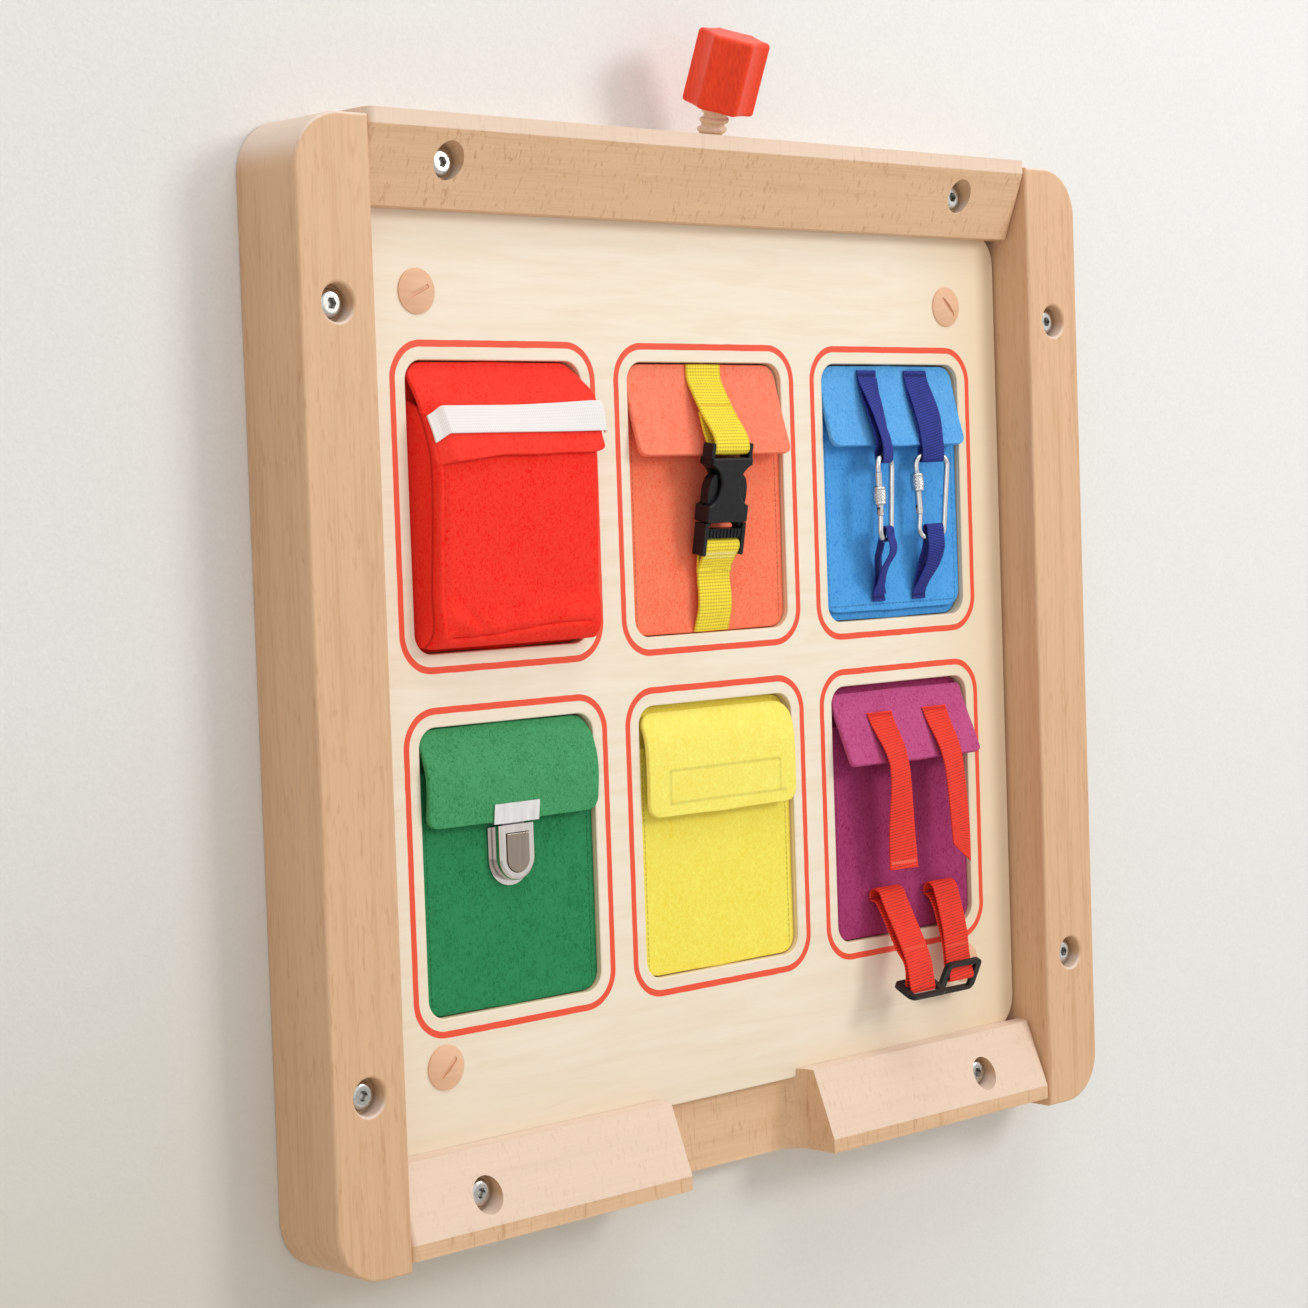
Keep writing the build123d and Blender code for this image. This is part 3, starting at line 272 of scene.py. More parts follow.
def outline_of(wood, x, y, z):
    """1 on the painted lines. Folded coordinates, less a rectangle's straight part, give the distance to
    its rounded corner's centre; the line lies where that is the corner's radius."""
    across = wood.math("ABSOLUTE", wood.math("WRAP", x, column_pitch / 2, -column_pitch / 2))
    level = wood.math("WRAP", wood.minus(z, 0.1), row_pitch, 0.0)
    level = wood.math("ABSOLUTE", wood.minus(level, row_pitch / 2))
    dx = wood.math("MAXIMUM", wood.minus(across, outline_half_wide - outline_corner), 0.0)
    dz = wood.math("MAXIMUM", wood.minus(level, outline_half_tall - outline_corner), 0.0)
    far = wood.math("SQRT", wood.plus(wood.times(dx, dx), wood.times(dz, dz)))
    wobble = wood.times(wood.minus(wood.noise(wood.where(), 0.12, 2.0), 0.5), 0.5)
    edge = wood.plus(wood.minus(far, outline_corner), wobble)
    line = wood.band(edge, -outline_width / 2, outline_width / 2, 0.15)
    inside = wood.times(wood.math("LESS_THAN", wood.math("ABSOLUTE", x), 1.5 * column_pitch),
                        wood.math("LESS_THAN", wood.math("ABSOLUTE", z), row_pitch - 0.5))
    return wood.times(wood.times(line, inside), wood.math("LESS_THAN", y, panel_front))


def ply(outline_colour):
    """Face grain by drawn-out noise, darker heartwood to the right, painted shade towards the foot, plies by
    a saw wave in depth.
    """
    wood = Finish("birch_plywood", Roughness=0.5, **{"Specular IOR Level": 0.4})
    x, y, z = wood.split(wood.where())
    grain = wood.noise(wood.where((0.012, 0.1, 0.13)), 1.0, 4.0, 0.6, 0.8)
    fine = wood.noise(wood.where((0.06, 0.6, 1.3)), 1.0, 2.0, 0.5)
    face = wood.ramp(grain, [(0.3, light_of((238, 222, 196))), (0.5, light_of((242, 228, 206))),
                             (0.75, light_of((245, 234, 215)))])
    face = wood.blend(wood.fade(fine, 0.55, 0.75, 0.0, 0.14), face, light_of((226, 202, 166)))
    heart = wood.plus(x, wood.times(wood.minus(grain, 0.5), 60.0))
    face = wood.blend(wood.fade(heart, 150.0, 235.0, 0.0, 0.7), face, light_of((232, 206, 166)))
    # painted shade: the face darkens towards the foot of the panel, where less light falls
    face = wood.blend(wood.fade(z, -120.0, -265.0, 0.0, 0.45), face, light_of((228, 208, 178)))
    line = outline_of(wood, x, y, z)
    face = wood.blend(line, face, light_of(outline_colour))
    depth = wood.math("PINGPONG", wood.plus(y, 0.2), ply_thick)
    plies = wood.ramp(wood.math("DIVIDE", depth, ply_thick),
                      [(0.35, light_of((236, 214, 180))), (0.6, light_of((222, 194, 156)))])
    cut = wood.fade(wood.math("ABSOLUTE", wood.facing()[1]), 0.25, 0.6, 1.0, 0.0)
    wood.colour(wood.blend(cut, face, plies))
    wood.rough(grain, 0.42, 0.6)
    wood.bump(wood.plus(fine, wood.times(line, 0.6)), 0.06, 0.6)
    return wood


dress(ply((240, 80, 48)), "birch_ply", "activity_panel")

board = Finish("backing_board", Roughness=0.75)
speckle = board.noise(board.where(), 0.9, 4.0, 0.7)
board.colour(board.ramp(speckle, [(0.35, light_of((150, 112, 78))), (0.65, light_of((176, 138, 102)))]))
board.bump(speckle, 0.1, 0.6)
dress(board, "backing", "backing_board")

# %% [markdown]
# ## Caps, screws and the wooden clamp
#
# Four peach wooden caps with a slot hold the panel's own screws. The frame's screws are
# zinc-plated steel. The clamp has a knob of painted beech, whose grain just shows through,
# on a threaded wooden shank. In the CAD model the shank is a plain rod, so its thread is made
# here: the radius follows a rounded saw wave that climbs one pitch in each turn.

# %% Slotted caps
cap = Finish("cap_wood", Roughness=0.55, **{"Specular IOR Level": 0.35})
cap_grain = cap.noise(cap.where((0.05, 0.3, 0.5)), 1.0, 3.0, 0.5)
cap.colour(cap.ramp(cap_grain, [(0.35, light_of((228, 180, 144))), (0.7, light_of((234, 188, 152)))]))
cap.bump(cap_grain, 0.05, 0.5)
dress(cap, "bolt_cover", "panel_bolts")


# %% Metal finish and screws
def metal(name, rgb, low, high, grain_scale=(0.3, 0.3, 0.3), depth=0.01, hollow=0.003):
    """Metal with faint tooling marks and a roughness that wanders from low to high.
    Painted shade darkens hollows up to hollow metres wide, where ambient occlusion finds them."""
    made = Finish(name, Metallic=1.0)
    marks = made.noise(made.where(grain_scale), 1.0, 4.0, 0.6)
    # painted shade: where ambient occlusion finds a hollow, the colour falls to a tenth of its own
    open_sky = made.add("AmbientOcclusion", {"Distance": hollow}).node.outputs["AO"]
    tone = made.ramp(marks, [(0.3, light_of(rgb, 0.8)), (0.7, light_of(rgb))])
    out_of_shade = made.fade(open_sky, 0.25, 0.8, 0.12, 1.0)
    made.colour(made.blend(out_of_shade, light_of(rgb, 0.1), tone))
    made.rough(marks, low, high)
    made.bump(marks, depth, 0.4)
    return made


dress(metal("zinc_steel", (208, 205, 200), 0.12, 0.28, (0.8, 0.8, 0.8)), "steel",
      "wall_screws", "panel_nuts", "clasp_backplate", "clasp_spring", "gate_pins")

# %% Painted knob
knob = Finish("painted_knob", Roughness=0.38, **{"Specular IOR Level": 0.35})
knob_grain = knob.noise(knob.where((0.9, 0.9, 0.07), (23, 0, 0)), 1.0, 4.0, 0.6, 0.3)
knob_wear = knob.noise(knob.where(), 0.12, 3.0, 0.6)
paint = knob.ramp(knob_grain, [(0.3, light_of((228, 50, 6))), (0.55, light_of((244, 62, 12))),
                               (0.75, light_of((250, 76, 22)))])
knob.colour(knob.blend(knob.fade(knob_wear, 0.6, 0.8, 0.0, 0.3), paint, light_of((252, 96, 52))))
knob.rough(knob_grain, 0.3, 0.46)
knob.bump(knob_grain, 0.03, 0.5)
dress(knob, "knob_paint", "clamp_knob")

# %% [markdown]
# ## Surfaces from grids of points
#
# Every new piece below is one grid of points, worked out with numpy as whole arrays: a path
# gives the rows, a line across it gives the columns. `surface` makes such a grid a mesh.
# `cloth` makes it a sheet with a front and a back: the middle surface moves half the
# thickness along its normal each way, and three rings past its edge round it off.


# %% Grid helpers
def surface(name, points, uv=None, wrap=False, caps=False):
    """A mesh from points[row, column] in millimetres. wrap joins the last column to the first, and
    caps close the ends."""
    rows, cols = points.shape[:2]
    index = np.arange(rows * cols).reshape(rows, cols)
    if wrap:
        index = np.concatenate([index, index[:, :1]], axis=1)
    quads = np.stack([index[:-1, :-1], index[:-1, 1:], index[1:, 1:], index[1:, :-1]], axis=-1)
    faces = quads.reshape(-1, 4).tolist()
    if caps:
        faces += [index[0, :cols][::-1].tolist(), index[-1, :cols].tolist()]
    mesh = bpy.data.meshes.new(name)
    mesh.from_pydata((points.reshape(-1, 3) / 1000.0).tolist(), [], faces)
    if uv is not None:
        layer = mesh.uv_layers.new(name="cloth")
        loops = np.empty(len(mesh.loops), np.int32)
        mesh.loops.foreach_get("vertex_index", loops)
        layer.data.foreach_set("uv", (uv.reshape(-1, 2) / 1000.0)[loops].astype(np.float32).ravel())
    tidy_mesh(mesh)
    made = bpy.data.objects.new(name, mesh)
    bpy.context.scene.collection.objects.link(made)
    return made


def tidy_mesh(mesh):
    """Merge doubled points, turn the faces outwards and shade them smooth."""
    edit = bmesh.new()
    edit.from_mesh(mesh)
    bmesh.ops.remove_doubles(edit, verts=edit.verts, dist=2e-6)
    bmesh.ops.recalc_face_normals(edit, faces=edit.faces)
    edit.to_mesh(mesh)
    edit.free()
    mesh.shade_smooth()


def unit(vectors):
    """Each vector divided by its length."""
    return vectors / np.maximum(np.linalg.norm(vectors, axis=-1, keepdims=True), 1e-9)


def ring(array, amount):
    """Add one row and one column on every side, amount millimetres further out than the last, in the
    direction in which the grid ends there."""
    for axis in (0, 1):
        array = np.swapaxes(array, 0, axis)
        first, last = (unit(d) * amount for d in (array[:1] - array[1:2], array[-1:] - array[-2:-1]))
        array = np.swapaxes(np.concatenate([array[:1] + first, array, array[-1:] + last]), 0, axis)
    return array


def cloth(name, middle, thick, uv):
    """Front and back skins half the thickness from the middle surface, with a rounded rim."""
    normal = unit(np.cross(np.gradient(middle, axis=1), np.gradient(middle, axis=0)))
    half = np.full(middle.shape[:2] + (1,), thick / 2)
    uv = np.concatenate([uv, np.zeros(uv.shape[:2] + (1,))], axis=-1)
    for step, share in ((0.12, 0.93), (0.12, 0.7), (0.05, 0.0)):
        middle, uv = ring(middle, step * thick), ring(uv, step * thick)
        normal, half = (np.pad(a, ((1, 1), (1, 1), (0, 0)), mode="edge") for a in (normal, half))
        half[[0, -1]] = half[:, [0, -1]] = thick / 2 * share
    both = np.concatenate([middle + normal * half, (middle - normal * half)[:, ::-1]], axis=1)
    return surface(name, both, np.concatenate([uv, uv[:, ::-1]], axis=1)[..., :2])


# %% [markdown]
# A path is given as a few (height, z) points measured from a wallet's middle, and a smooth
# curve is passed through them. `strip` carries a level line along it. Its half width shrinks
# near an end as the corner of a rounded rectangle does. Small waves may lift the surface
# along its normal or slide it along the path, and a yaw turns each line about the upright.


# %% Paths and strips
def middle_of(node):
    """Middle of a CAD node's box seen from the front, in millimetres."""
    low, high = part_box(node)
    return (low.x + high.x) * 500, (low.z + high.z) * 500


wallets = ("red", "orange", "blue", "green", "yellow", "purple")
middles = {name: middle_of(name + "_pocket") for name in wallets}
middles["red"] = (middles["red"][0], middles["orange"][1])


def curve(points, rows, even=0.0):
    """rows points, and how far along each lies, on cubics through the given points: each stretch starts
    and ends with the slopes of its neighbours. even=1 crowds the points towards both ends."""
    p = np.array(points, float)
    t = np.r_[0, np.cumsum(np.linalg.norm(np.diff(p, axis=0), axis=1))]
    slope = np.gradient(p, t, axis=0)
    q = np.linspace(0, t[-1], 40 * len(p))
    k = np.clip(np.searchsorted(t, q, side="right") - 1, 0, len(t) - 2)
    h = (t[k + 1] - t[k])[:, None]
    u = (q - t[k])[:, None] / h
    line = ((2 * u**3 - 3 * u**2 + 1) * p[k] + (u**3 - 2 * u**2 + u) * h * slope[k]
            + (3 * u**2 - 2 * u**3) * p[k + 1] + (u**3 - u**2) * h * slope[k + 1])
    far = np.r_[0, np.cumsum(np.linalg.norm(np.diff(line, axis=0), axis=1))]
    share = np.linspace(0, 1, rows)
    share = (1 - even) * share + even * (0.5 - 0.5 * np.cos(np.pi * share))
    s = share * far[-1]
    return np.stack([np.interp(s, far, line[:, i]) for i in range(p.shape[1])], axis=1), s


def rounding(s, length, r_first, r_last):
    """How much a half width shrinks at distance s along a strip whose ends have rounded corners."""
    loss = np.zeros_like(s)
    for r, d in ((r_first, s), (r_last, length - s)):
        if r > 0:
            inside = np.clip(r - d, 0, r)
            loss += r - np.sqrt(np.maximum(r * r - inside * inside, 0))
    return loss


def strip(window, path, half, x=0.0, rows=64, cols=28, corners=(0, 0), lift=None, slide=None, side=None,
          yaw=0.0, even=0.0, pivot=None):
    """Grid and UV of a level line carried down a (height, z) path. half, yaw and x may be lists, spread
    evenly over the path. lift, slide and side are functions of (s, a), the lengths along and across:
    millimetres along the normal, down the path, and sideways. yaw turns about the height pivot."""
    wx, wz = middles[window]
    line, s = curve(path, rows, even)
    half, turn, x = (np.interp(s / s[-1], np.linspace(0, 1, np.size(v)), np.atleast_1d(v))
                     for v in (half, yaw, x))
    reach = (half - rounding(s, s[-1], *corners))[:, None] * np.ones((rows, 1))
    a = reach * np.linspace(-1, 1, cols)[None, :]
    turn = np.radians(turn)
    across = np.stack([np.cos(turn), -np.sin(turn), 0 * turn], axis=1)[:, None, :]
    down = np.gradient(line, s, axis=0)
    tangent = np.stack([0 * s, -down[:, 0], down[:, 1]], axis=1)[:, None, :]
    normal = unit(np.cross(tangent, across))
    h, z = line[:, 0], line[:, 1]
    if pivot is None:
        centre = np.stack([wx + x, -h, wz + z], axis=1)
    else:
        out = np.clip(h - pivot, -3.2, 3.2)
        centre = np.stack([wx + x - out * np.sin(turn), -(h - out + out * np.cos(turn)), wz + z], axis=1)
    points = centre[:, None, :] + a[..., None] * across
    grid_s = s[:, None] + 0 * a
    for move, way in ((lift, normal), (slide, tangent), (side, across)):
        if move is not None:
            points = points + move(grid_s, a)[..., None] * way
    return points, np.stack([a, grid_s], axis=-1)


def arc(h, z, r, start, end, steps=10):
    """(height, z) points on a circle; 0 degrees faces the viewer and 90 is up."""
    turn = np.radians(np.linspace(start, end, steps + 1))
    return list(zip(h + r * np.cos(turn), z + r * np.sin(turn)))


def soft(name, grid, thick, finish, slot, body, *nodes):
    """A finished cloth piece: its mesh, finish, body and the CAD nodes it stands for. slot is not used."""
    points, uv = grid
    made = cloth(name, points, thick, uv)
    made.data.materials.append(finish.material)
    if isinstance(body, str):
        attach(made, body)
    else:
        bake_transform(made)
    if nodes:
        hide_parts(*nodes)
    print(name, len(made.data.polygons), "faces")
    return made


# %% [markdown]
# The thread of the clamp's shank is a grid too: the columns go round, the rows go along the
# axis, and the radius is the rod's less a rounded wave that climbs one pitch a turn.

# %% Threaded shank
pitch, rod, depth = 5.0, 7.5, 1.5
low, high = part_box("clamp_screw")
tilt = radians(23.0)
axis = np.array([0, -sin(tilt), cos(tilt)])
level = np.array([1.0, 0, 0])
third = np.cross(axis, level)
rail_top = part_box("top_rail")[1].z * 1000
foot = np.array([0, -28.4, rail_top])
tip = ((low.z * 1000 + rod * sin(tilt)) - rail_top) / cos(tilt)
along = np.linspace(tip + 0.4, 30.4, 260)[:, None]
round_ = np.linspace(0, 2 * np.pi, 48, endpoint=False)[None, :]
phase = 2 * np.pi * along / pitch - round_
wave = np.clip(0.5 + 0.75 * np.cos(phase), 0, 1)
taper = np.clip((along - along[0] + 1.2) / 4.2, 0.3, 1) ** 0.6
radius = (rod - 0.02 - depth * wave) * taper
thread = foot + along[..., None] * axis + radius[..., None] * (np.cos(round_)[..., None] * level
                                                              + np.sin(round_)[..., None] * third)
shank = surface("threaded_shank", thread, wrap=True, caps=True)
bare_wood = beech("thread_beech", (232, 204, 166), (208, 170, 128), "z", 0.2)
shank.data.materials.append(bare_wood.material)
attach(shank, "clamp_screw")
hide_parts("clamp_screw")
print("thread", round(float(along[-1, 0] - along[0, 0]), 1), "mm long, tip at", round(float(tip), 1))

# %% [markdown]
# ## Felt
#
# The wallets are thick wool felt: matt, with no thread to see, only a mat of fibres and
# a soft mottling. A broad noise gives the mottling and two finer ones the fibres, and
# sheen lifts the colour at grazing angles as the fuzz does. Rows of stitches are small
# dashes along a line, set by the piece's own UV: millimetres from its middle and its top.


# %% Felt finish
def felt(name, rgb, seams=(), deep=1.4, lit=1.12):
    """Mottled felt. The darker fibres are the colour's light to the power of deep, the paler ones that
    light times lit. seams are (line, low, high, upright, kind) in UV: an upright one runs along v at
    u = line. Kind 0 is a faint pressed groove, 1 a row of stitches and 2 a deep groove. A groove's
    darker colour is painted shade."""
    wool = Finish(name, Roughness=0.95, **{"Sheen Weight": 0.2, "Sheen Roughness": 0.5,
                                           "Specular IOR Level": 0.12})
    wool.shader.inputs["Sheen Tint"].default_value = light_of(rgb)
    at = wool.where()
    mottle = wool.noise(at, 0.09, 3.0, 0.6)
    fibres = wool.noise(at, 0.62, 4.0, 0.8, 0.9)
    fine = wool.noise(wool.where((1.0, 1.0, 0.45), (0, 25, 0)), 1.5, 3.0, 0.7, 0.8)
    mix = wool.plus(wool.times(mottle, 0.14), wool.plus(wool.times(fibres, 0.5), wool.times(fine, 0.36)))
    shade = tuple(v ** deep for v in light_of(rgb))
    tint = wool.ramp(mix, [(0.4, shade), (0.5, light_of(rgb)), (0.6, light_of(rgb, lit))])
    relief = wool.plus(wool.times(fibres, 0.8), wool.times(fine, 0.5))
    if seams:
        u, v, _ = wool.split(wool.where(uv=True))
        for place, start, end, upright, kind in seams:
            cross, run = (u, v) if upright else (v, u)
            wide, soften = (0.3, 0.15) if kind == 1 else (0.8, 0.6)
            line = wool.band(cross, place - wide, place + wide, soften)
            line = wool.times(line, wool.band(run, start, end, 0.2))
            if kind == 1:
                line = wool.times(line, wool.band(wool.math("PINGPONG", run, 1.4), -1.0, 0.95, 0.15))
            # painted shade in the grooves of kinds 0 and 2; for kind 1 the darker dashes are the stitches
            tint = wool.blend(wool.times(line, (0.18, 0.45, 0.65)[kind]), tint, light_of(rgb, 0.4))
            relief = wool.minus(relief, wool.times(line, 1.2))
    wool.colour(tint)
    wool.bump(relief, 0.4, 0.85)
    return wool


# %% [markdown]
# ## Five wallets
#
# Each wallet is two layers of felt sewn round the sides and foot: a back layer as high as
# its window, and a front layer that stops below it, at the wallet's mouth. The back is held
# flat by the board behind. Real felt never lies dead flat by itself, so a slow wave of a
# third of a millimetre runs over the front. The red wallet's front is the pouch further on.

# %% Wallet layers
felt_thick, seat, mouth, edge, top, corner = 3.0, 14.0, 48.0, 55.3, 69.8, 9.5
colours = {"red": (255, 60, 46), "orange": (255, 132, 98), "blue": (86, 166, 232),
           "green": (50, 138, 88), "yellow": (250, 232, 100), "purple": (166, 62, 112)}


def ripple(height, wide, tall, start):
    """A slow wave: the product of two cosines, one along and one across."""
    return lambda s, a: height * np.cos(s / tall + start) * np.cos(a / wide + 1.7 * start)


for number, (name, rgb) in enumerate(colours.items()):
    back = strip(name, [(seat - felt_thick / 2, top), (seat - felt_thick / 2, -top)], edge,
                 rows=60, cols=40, corners=(corner, corner), even=0.8)
    plain = felt(name + "_felt_back", rgb)
    made = soft(name + "_wallet_back", back, felt_thick - 0.1, plain, name + "_felt", "panel",
                *([name + "_pocket"] if name != "red" else []))
    if name == "red":
        continue
    low = -65.4 if name == "blue" else -top
    seams = [(side, 2.0, mouth - low - 4.0, True, 1) for side in (52.0, -52.0)]
    if name == "blue":
        seams.append((mouth - low - 3.2, -52.0, 52.0, False, 1))
    front = strip(name, [(seat + felt_thick / 2, mouth), (seat + felt_thick / 2, low)], edge,
                  rows=60, cols=40, corners=(0, corner), even=0.8,
                  lift=ripple(0.18, 21.0 + number, 26.0, number))
    made = soft(name + "_wallet_front", front, felt_thick - 0.15,
                felt(name + "_felt_front", rgb, seams), name + "_felt", "panel")

# %% [markdown]
# ## Flaps
#
# A flap is one piece of felt sewn in at the top of its wallet, bending out over whatever
# closes it. Its path down the side view is what makes it look right: a tight fold at the
# top, then a long lazy curve. The purple one hangs open and the yellow one is only stuck
# down, so in use they move; here their pieces stay where they are made, attached to no body.

# %% Flaps of five wallets
fold = 69.4
# painted light: each flap's felt colour is a paler copy of its wallet's colour in colours, for the light on
# the flap as it leans out
flaps = {
    "orange": ([(15.5, fold), (15.6, 62.0), (17.6, 53.0), (20.8, 42.0), (26.9, 22.5)], (255, 140, 110),
               54.2, (9.5, 4.0)),
    "blue": ([(15.5, fold), (15.6, 62.0), (17.2, 54.0), (19.8, 44.0), (25.4, 25.6)], (100, 173, 232),
             53.9, (9.5, 5.0)),
    "green": ([(15.5, fold), (16.6, 63.5), (19.6, 58.5), (22.3, 51.5), (23.5, 43.0), (23.2, 35.0),
               (21.7, 22.0)], (76, 158, 104), 54.2, (9.5, 6.0)),
    "yellow": ([(15.85, 65.9), (18.6, 61.0), (21.2, 55.5), (22.5, 49.0), (22.9, 42.0), (22.9, 13.0)],
               (252, 236, 116), 53.3, (8.5, 7.0)),
    "purple": ([(15.85, 65.9), (17.2, 60.5), (20.2, 53.0), (24.0, 44.5), (31.4, 27.5)], (190, 84, 134),
               52.9, (3.0, 3.0)),
}
for name, (path, rgb, flap_half, corners) in flaps.items():
    seams = []
    # the pressed outline's darker line, a kind 0 groove, is painted shade
    if name == "yellow":  # the pressed outline of the hook patch behind
        seams = [(31.4, -39.5, 41.5, False, 0), (48.4, -39.5, 46.0, False, 0),
                 (-39.5, 31.4, 48.4, True, 0), (41.5, 31.4, 48.4, True, 0)]
    grid = strip(name, path, flap_half, rows=64, cols=44, corners=corners, even=0.6,
                 lift=ripple(0.12, 17.0, 19.0, len(name)))
    length = float(grid[1][-1, 0, 1])
    wx, wz = middles[name]
    body = "panel"
    if name in ("yellow", "purple"):
        body = ("panel", name + "_flap", (wx / 1000, -0.0156, (wz + 66.2) / 1000),
                (wx / 1000, -0.0186, (wz + 60.0) / 1000))
    wool = felt(name + "_felt_flap", rgb, seams)
    made = soft(name + "_flap_felt", grid, felt_thick - 0.15, wool, name + "_felt", body, name + "_flap")
    print(name, "flap", round(length, 1), "mm long")

# %% [markdown]
# ## The red pouch
#
# The red wallet is a bag: a front with pleated sides, closed by its flap, which an elastic
# band holds down. At each level its section is a U: back along the left side, round a corner, across
# the front, round again and back. The depth of the U follows the side view of the front,
# and falls to nothing at the foot, which closes the bag. Creases gather there.


# %% The pouch as stacked U sections
def u_section(depth, half, corner, cols=(14, 6, 44)):
    """Points and unrolled length of a U: sides at -half and +half, a front at depth, rounded corners.
    depth has one value per row. cols are the points on a side, round a corner, and across."""
    depth = depth[:, None]
    r = np.minimum(corner, depth)
    side_t = np.linspace(0, 1, cols[0], endpoint=False)[None, :]
    turn = np.linspace(0, np.pi / 2, cols[1], endpoint=False)[None, :]
    front_t = np.linspace(0, 1, cols[2], endpoint=True)[None, :]
    x = [-half + 0 * side_t * depth, -half + r - r * np.cos(turn), (-half + r) + (2 * half - 2 * r) * front_t]
    h = [side_t * (depth - r), (depth - r) + r * np.sin(turn), depth + 0 * front_t]
    x, h = np.concatenate(x, axis=1), np.concatenate(h, axis=1)
    x = np.concatenate([x, -x[:, :cols[0] + cols[1]][:, ::-1]], axis=1)
    h = np.concatenate([h, h[:, :cols[0] + cols[1]][:, ::-1]], axis=1)
    step = np.hypot(np.diff(x, axis=1), np.diff(h, axis=1))
    u = np.concatenate([np.zeros((len(x), 1)), np.cumsum(step, axis=1)], axis=1)
    return x, h, u - u[:, -1:] / 2


def hill(distance, width):
    """A smooth hill, 1 at distance 0: e to the power of minus (distance / width) squared."""
    return np.exp(-(distance / width) ** 2)


wx, wz = middles["red"]
front_line, _ = curve([(14.6, -66.2), (24.0, -66.4), (30.4, -66.0), (32.4, -63.8), (33.2, -40.0),
                       (34.6, -12.0), (35.4, 13.0), (35.0, 24.0), (32.4, 34.0), (28.4, 43.0)], 120)
back_skin = seat + 1.5
depth_at, z_at = front_line[:, :1] - back_skin, front_line[:, 1:]
x, h, u = u_section(depth_at[:, 0], 52.4, 3.4)
rows = z_at + 0 * x
share = np.clip((rows + 66.0) / 109.0, 0, 1)
outward = np.clip(h / np.maximum(depth_at, 1), 0, 1)
mouth_rise = 8.0 * (1 - outward) * np.clip(share - 0.9, 0, 0.1) * 10

# %% [markdown]
# The front isn't flat: slow waves run over it, two long creases cross it low down, a seam
# closes the foot, and the felt gathers above the lower left corner. A welt, where the front
# is sewn to the side, is a ridge with a groove beside it. Each is a hill or a sine added to
# the front's height. Then the sides are drawn in, and the left one is pulled to the right.

# %% Waves, creases and the pulled side
waves = 0.8 * hill(rows + 62.0, 9.0) * np.sin(x / 4.6 + 0.9 * np.sin(x / 13.0))
waves += 0.5 * np.sin(x / 21.0 + 1.0) * np.cos(rows / 24.0)
waves += 1.1 * hill(rows + 44 + 0.25 * x, 7.0) * hill(x + 14, 30.0)
waves -= 0.9 * hill(rows + 51 - 0.18 * x, 5.0) * hill(x - 20, 26.0)
waves -= 2.0 * hill(rows + 60.5 - 0.035 * x - 0.9 * np.sin(x / 15.0), 0.8) * (np.abs(x) < 46)
waves += 2.2 * hill(rows + 57 + 0.5 * (x + 36), 4.0) * hill(x + 37, 9.0)
waves -= 1.9 * hill(rows + 52 + 0.9 * (x + 34), 3.4) * hill(x + 31, 8.0)
waves += (1.3 * hill(u + 52.0, 1.3) - 1.5 * hill(u + 48.8, 1.1)) * np.clip((rows + 64) / 8, 0, 1)
pull = (x < 0) * outward * (1.2 + 2.2 * share) * np.clip((-x - 12) / 36, 0, 1)
front_only = np.clip((h - depth_at + 3.0) / 3.0, 0, 1) * np.clip(depth_at / 12 - 0.6, 0, 1)
inward = 2.4 * np.sin(np.pi * outward) * np.sin(np.pi * share) ** 0.5
bag_x = x - np.sign(x) * inward * (np.abs(x) > 50) + pull
bag_h = back_skin + np.maximum(h + front_only * (waves - 0.9), 0)
pouch_points = np.stack([wx + bag_x, -bag_h, wz + rows + mouth_rise], axis=-1)
# painted shade: the pouch is a darker copy of the red felt, darker fibres (deep 1.7) included, with deep
# grooves at its sides
pouch_felt = felt("red_felt_pouch", (252, 60, 46), [(side, -200, 200, True, 2) for side in (-56.2, 56.2)],
                  deep=1.7)
pouch = soft("red_pouch_bag", (pouch_points, np.stack([u, rows], axis=-1)), 2.7, pouch_felt,
             "red_felt", "panel", "red_pocket")

# %% [markdown]
# Everything woven shares one finish: ribs across the band, crossed by finer threads, with a
# darker selvedge, and rows of stitches where it is sewn. The elastic has its ribs lengthwise.


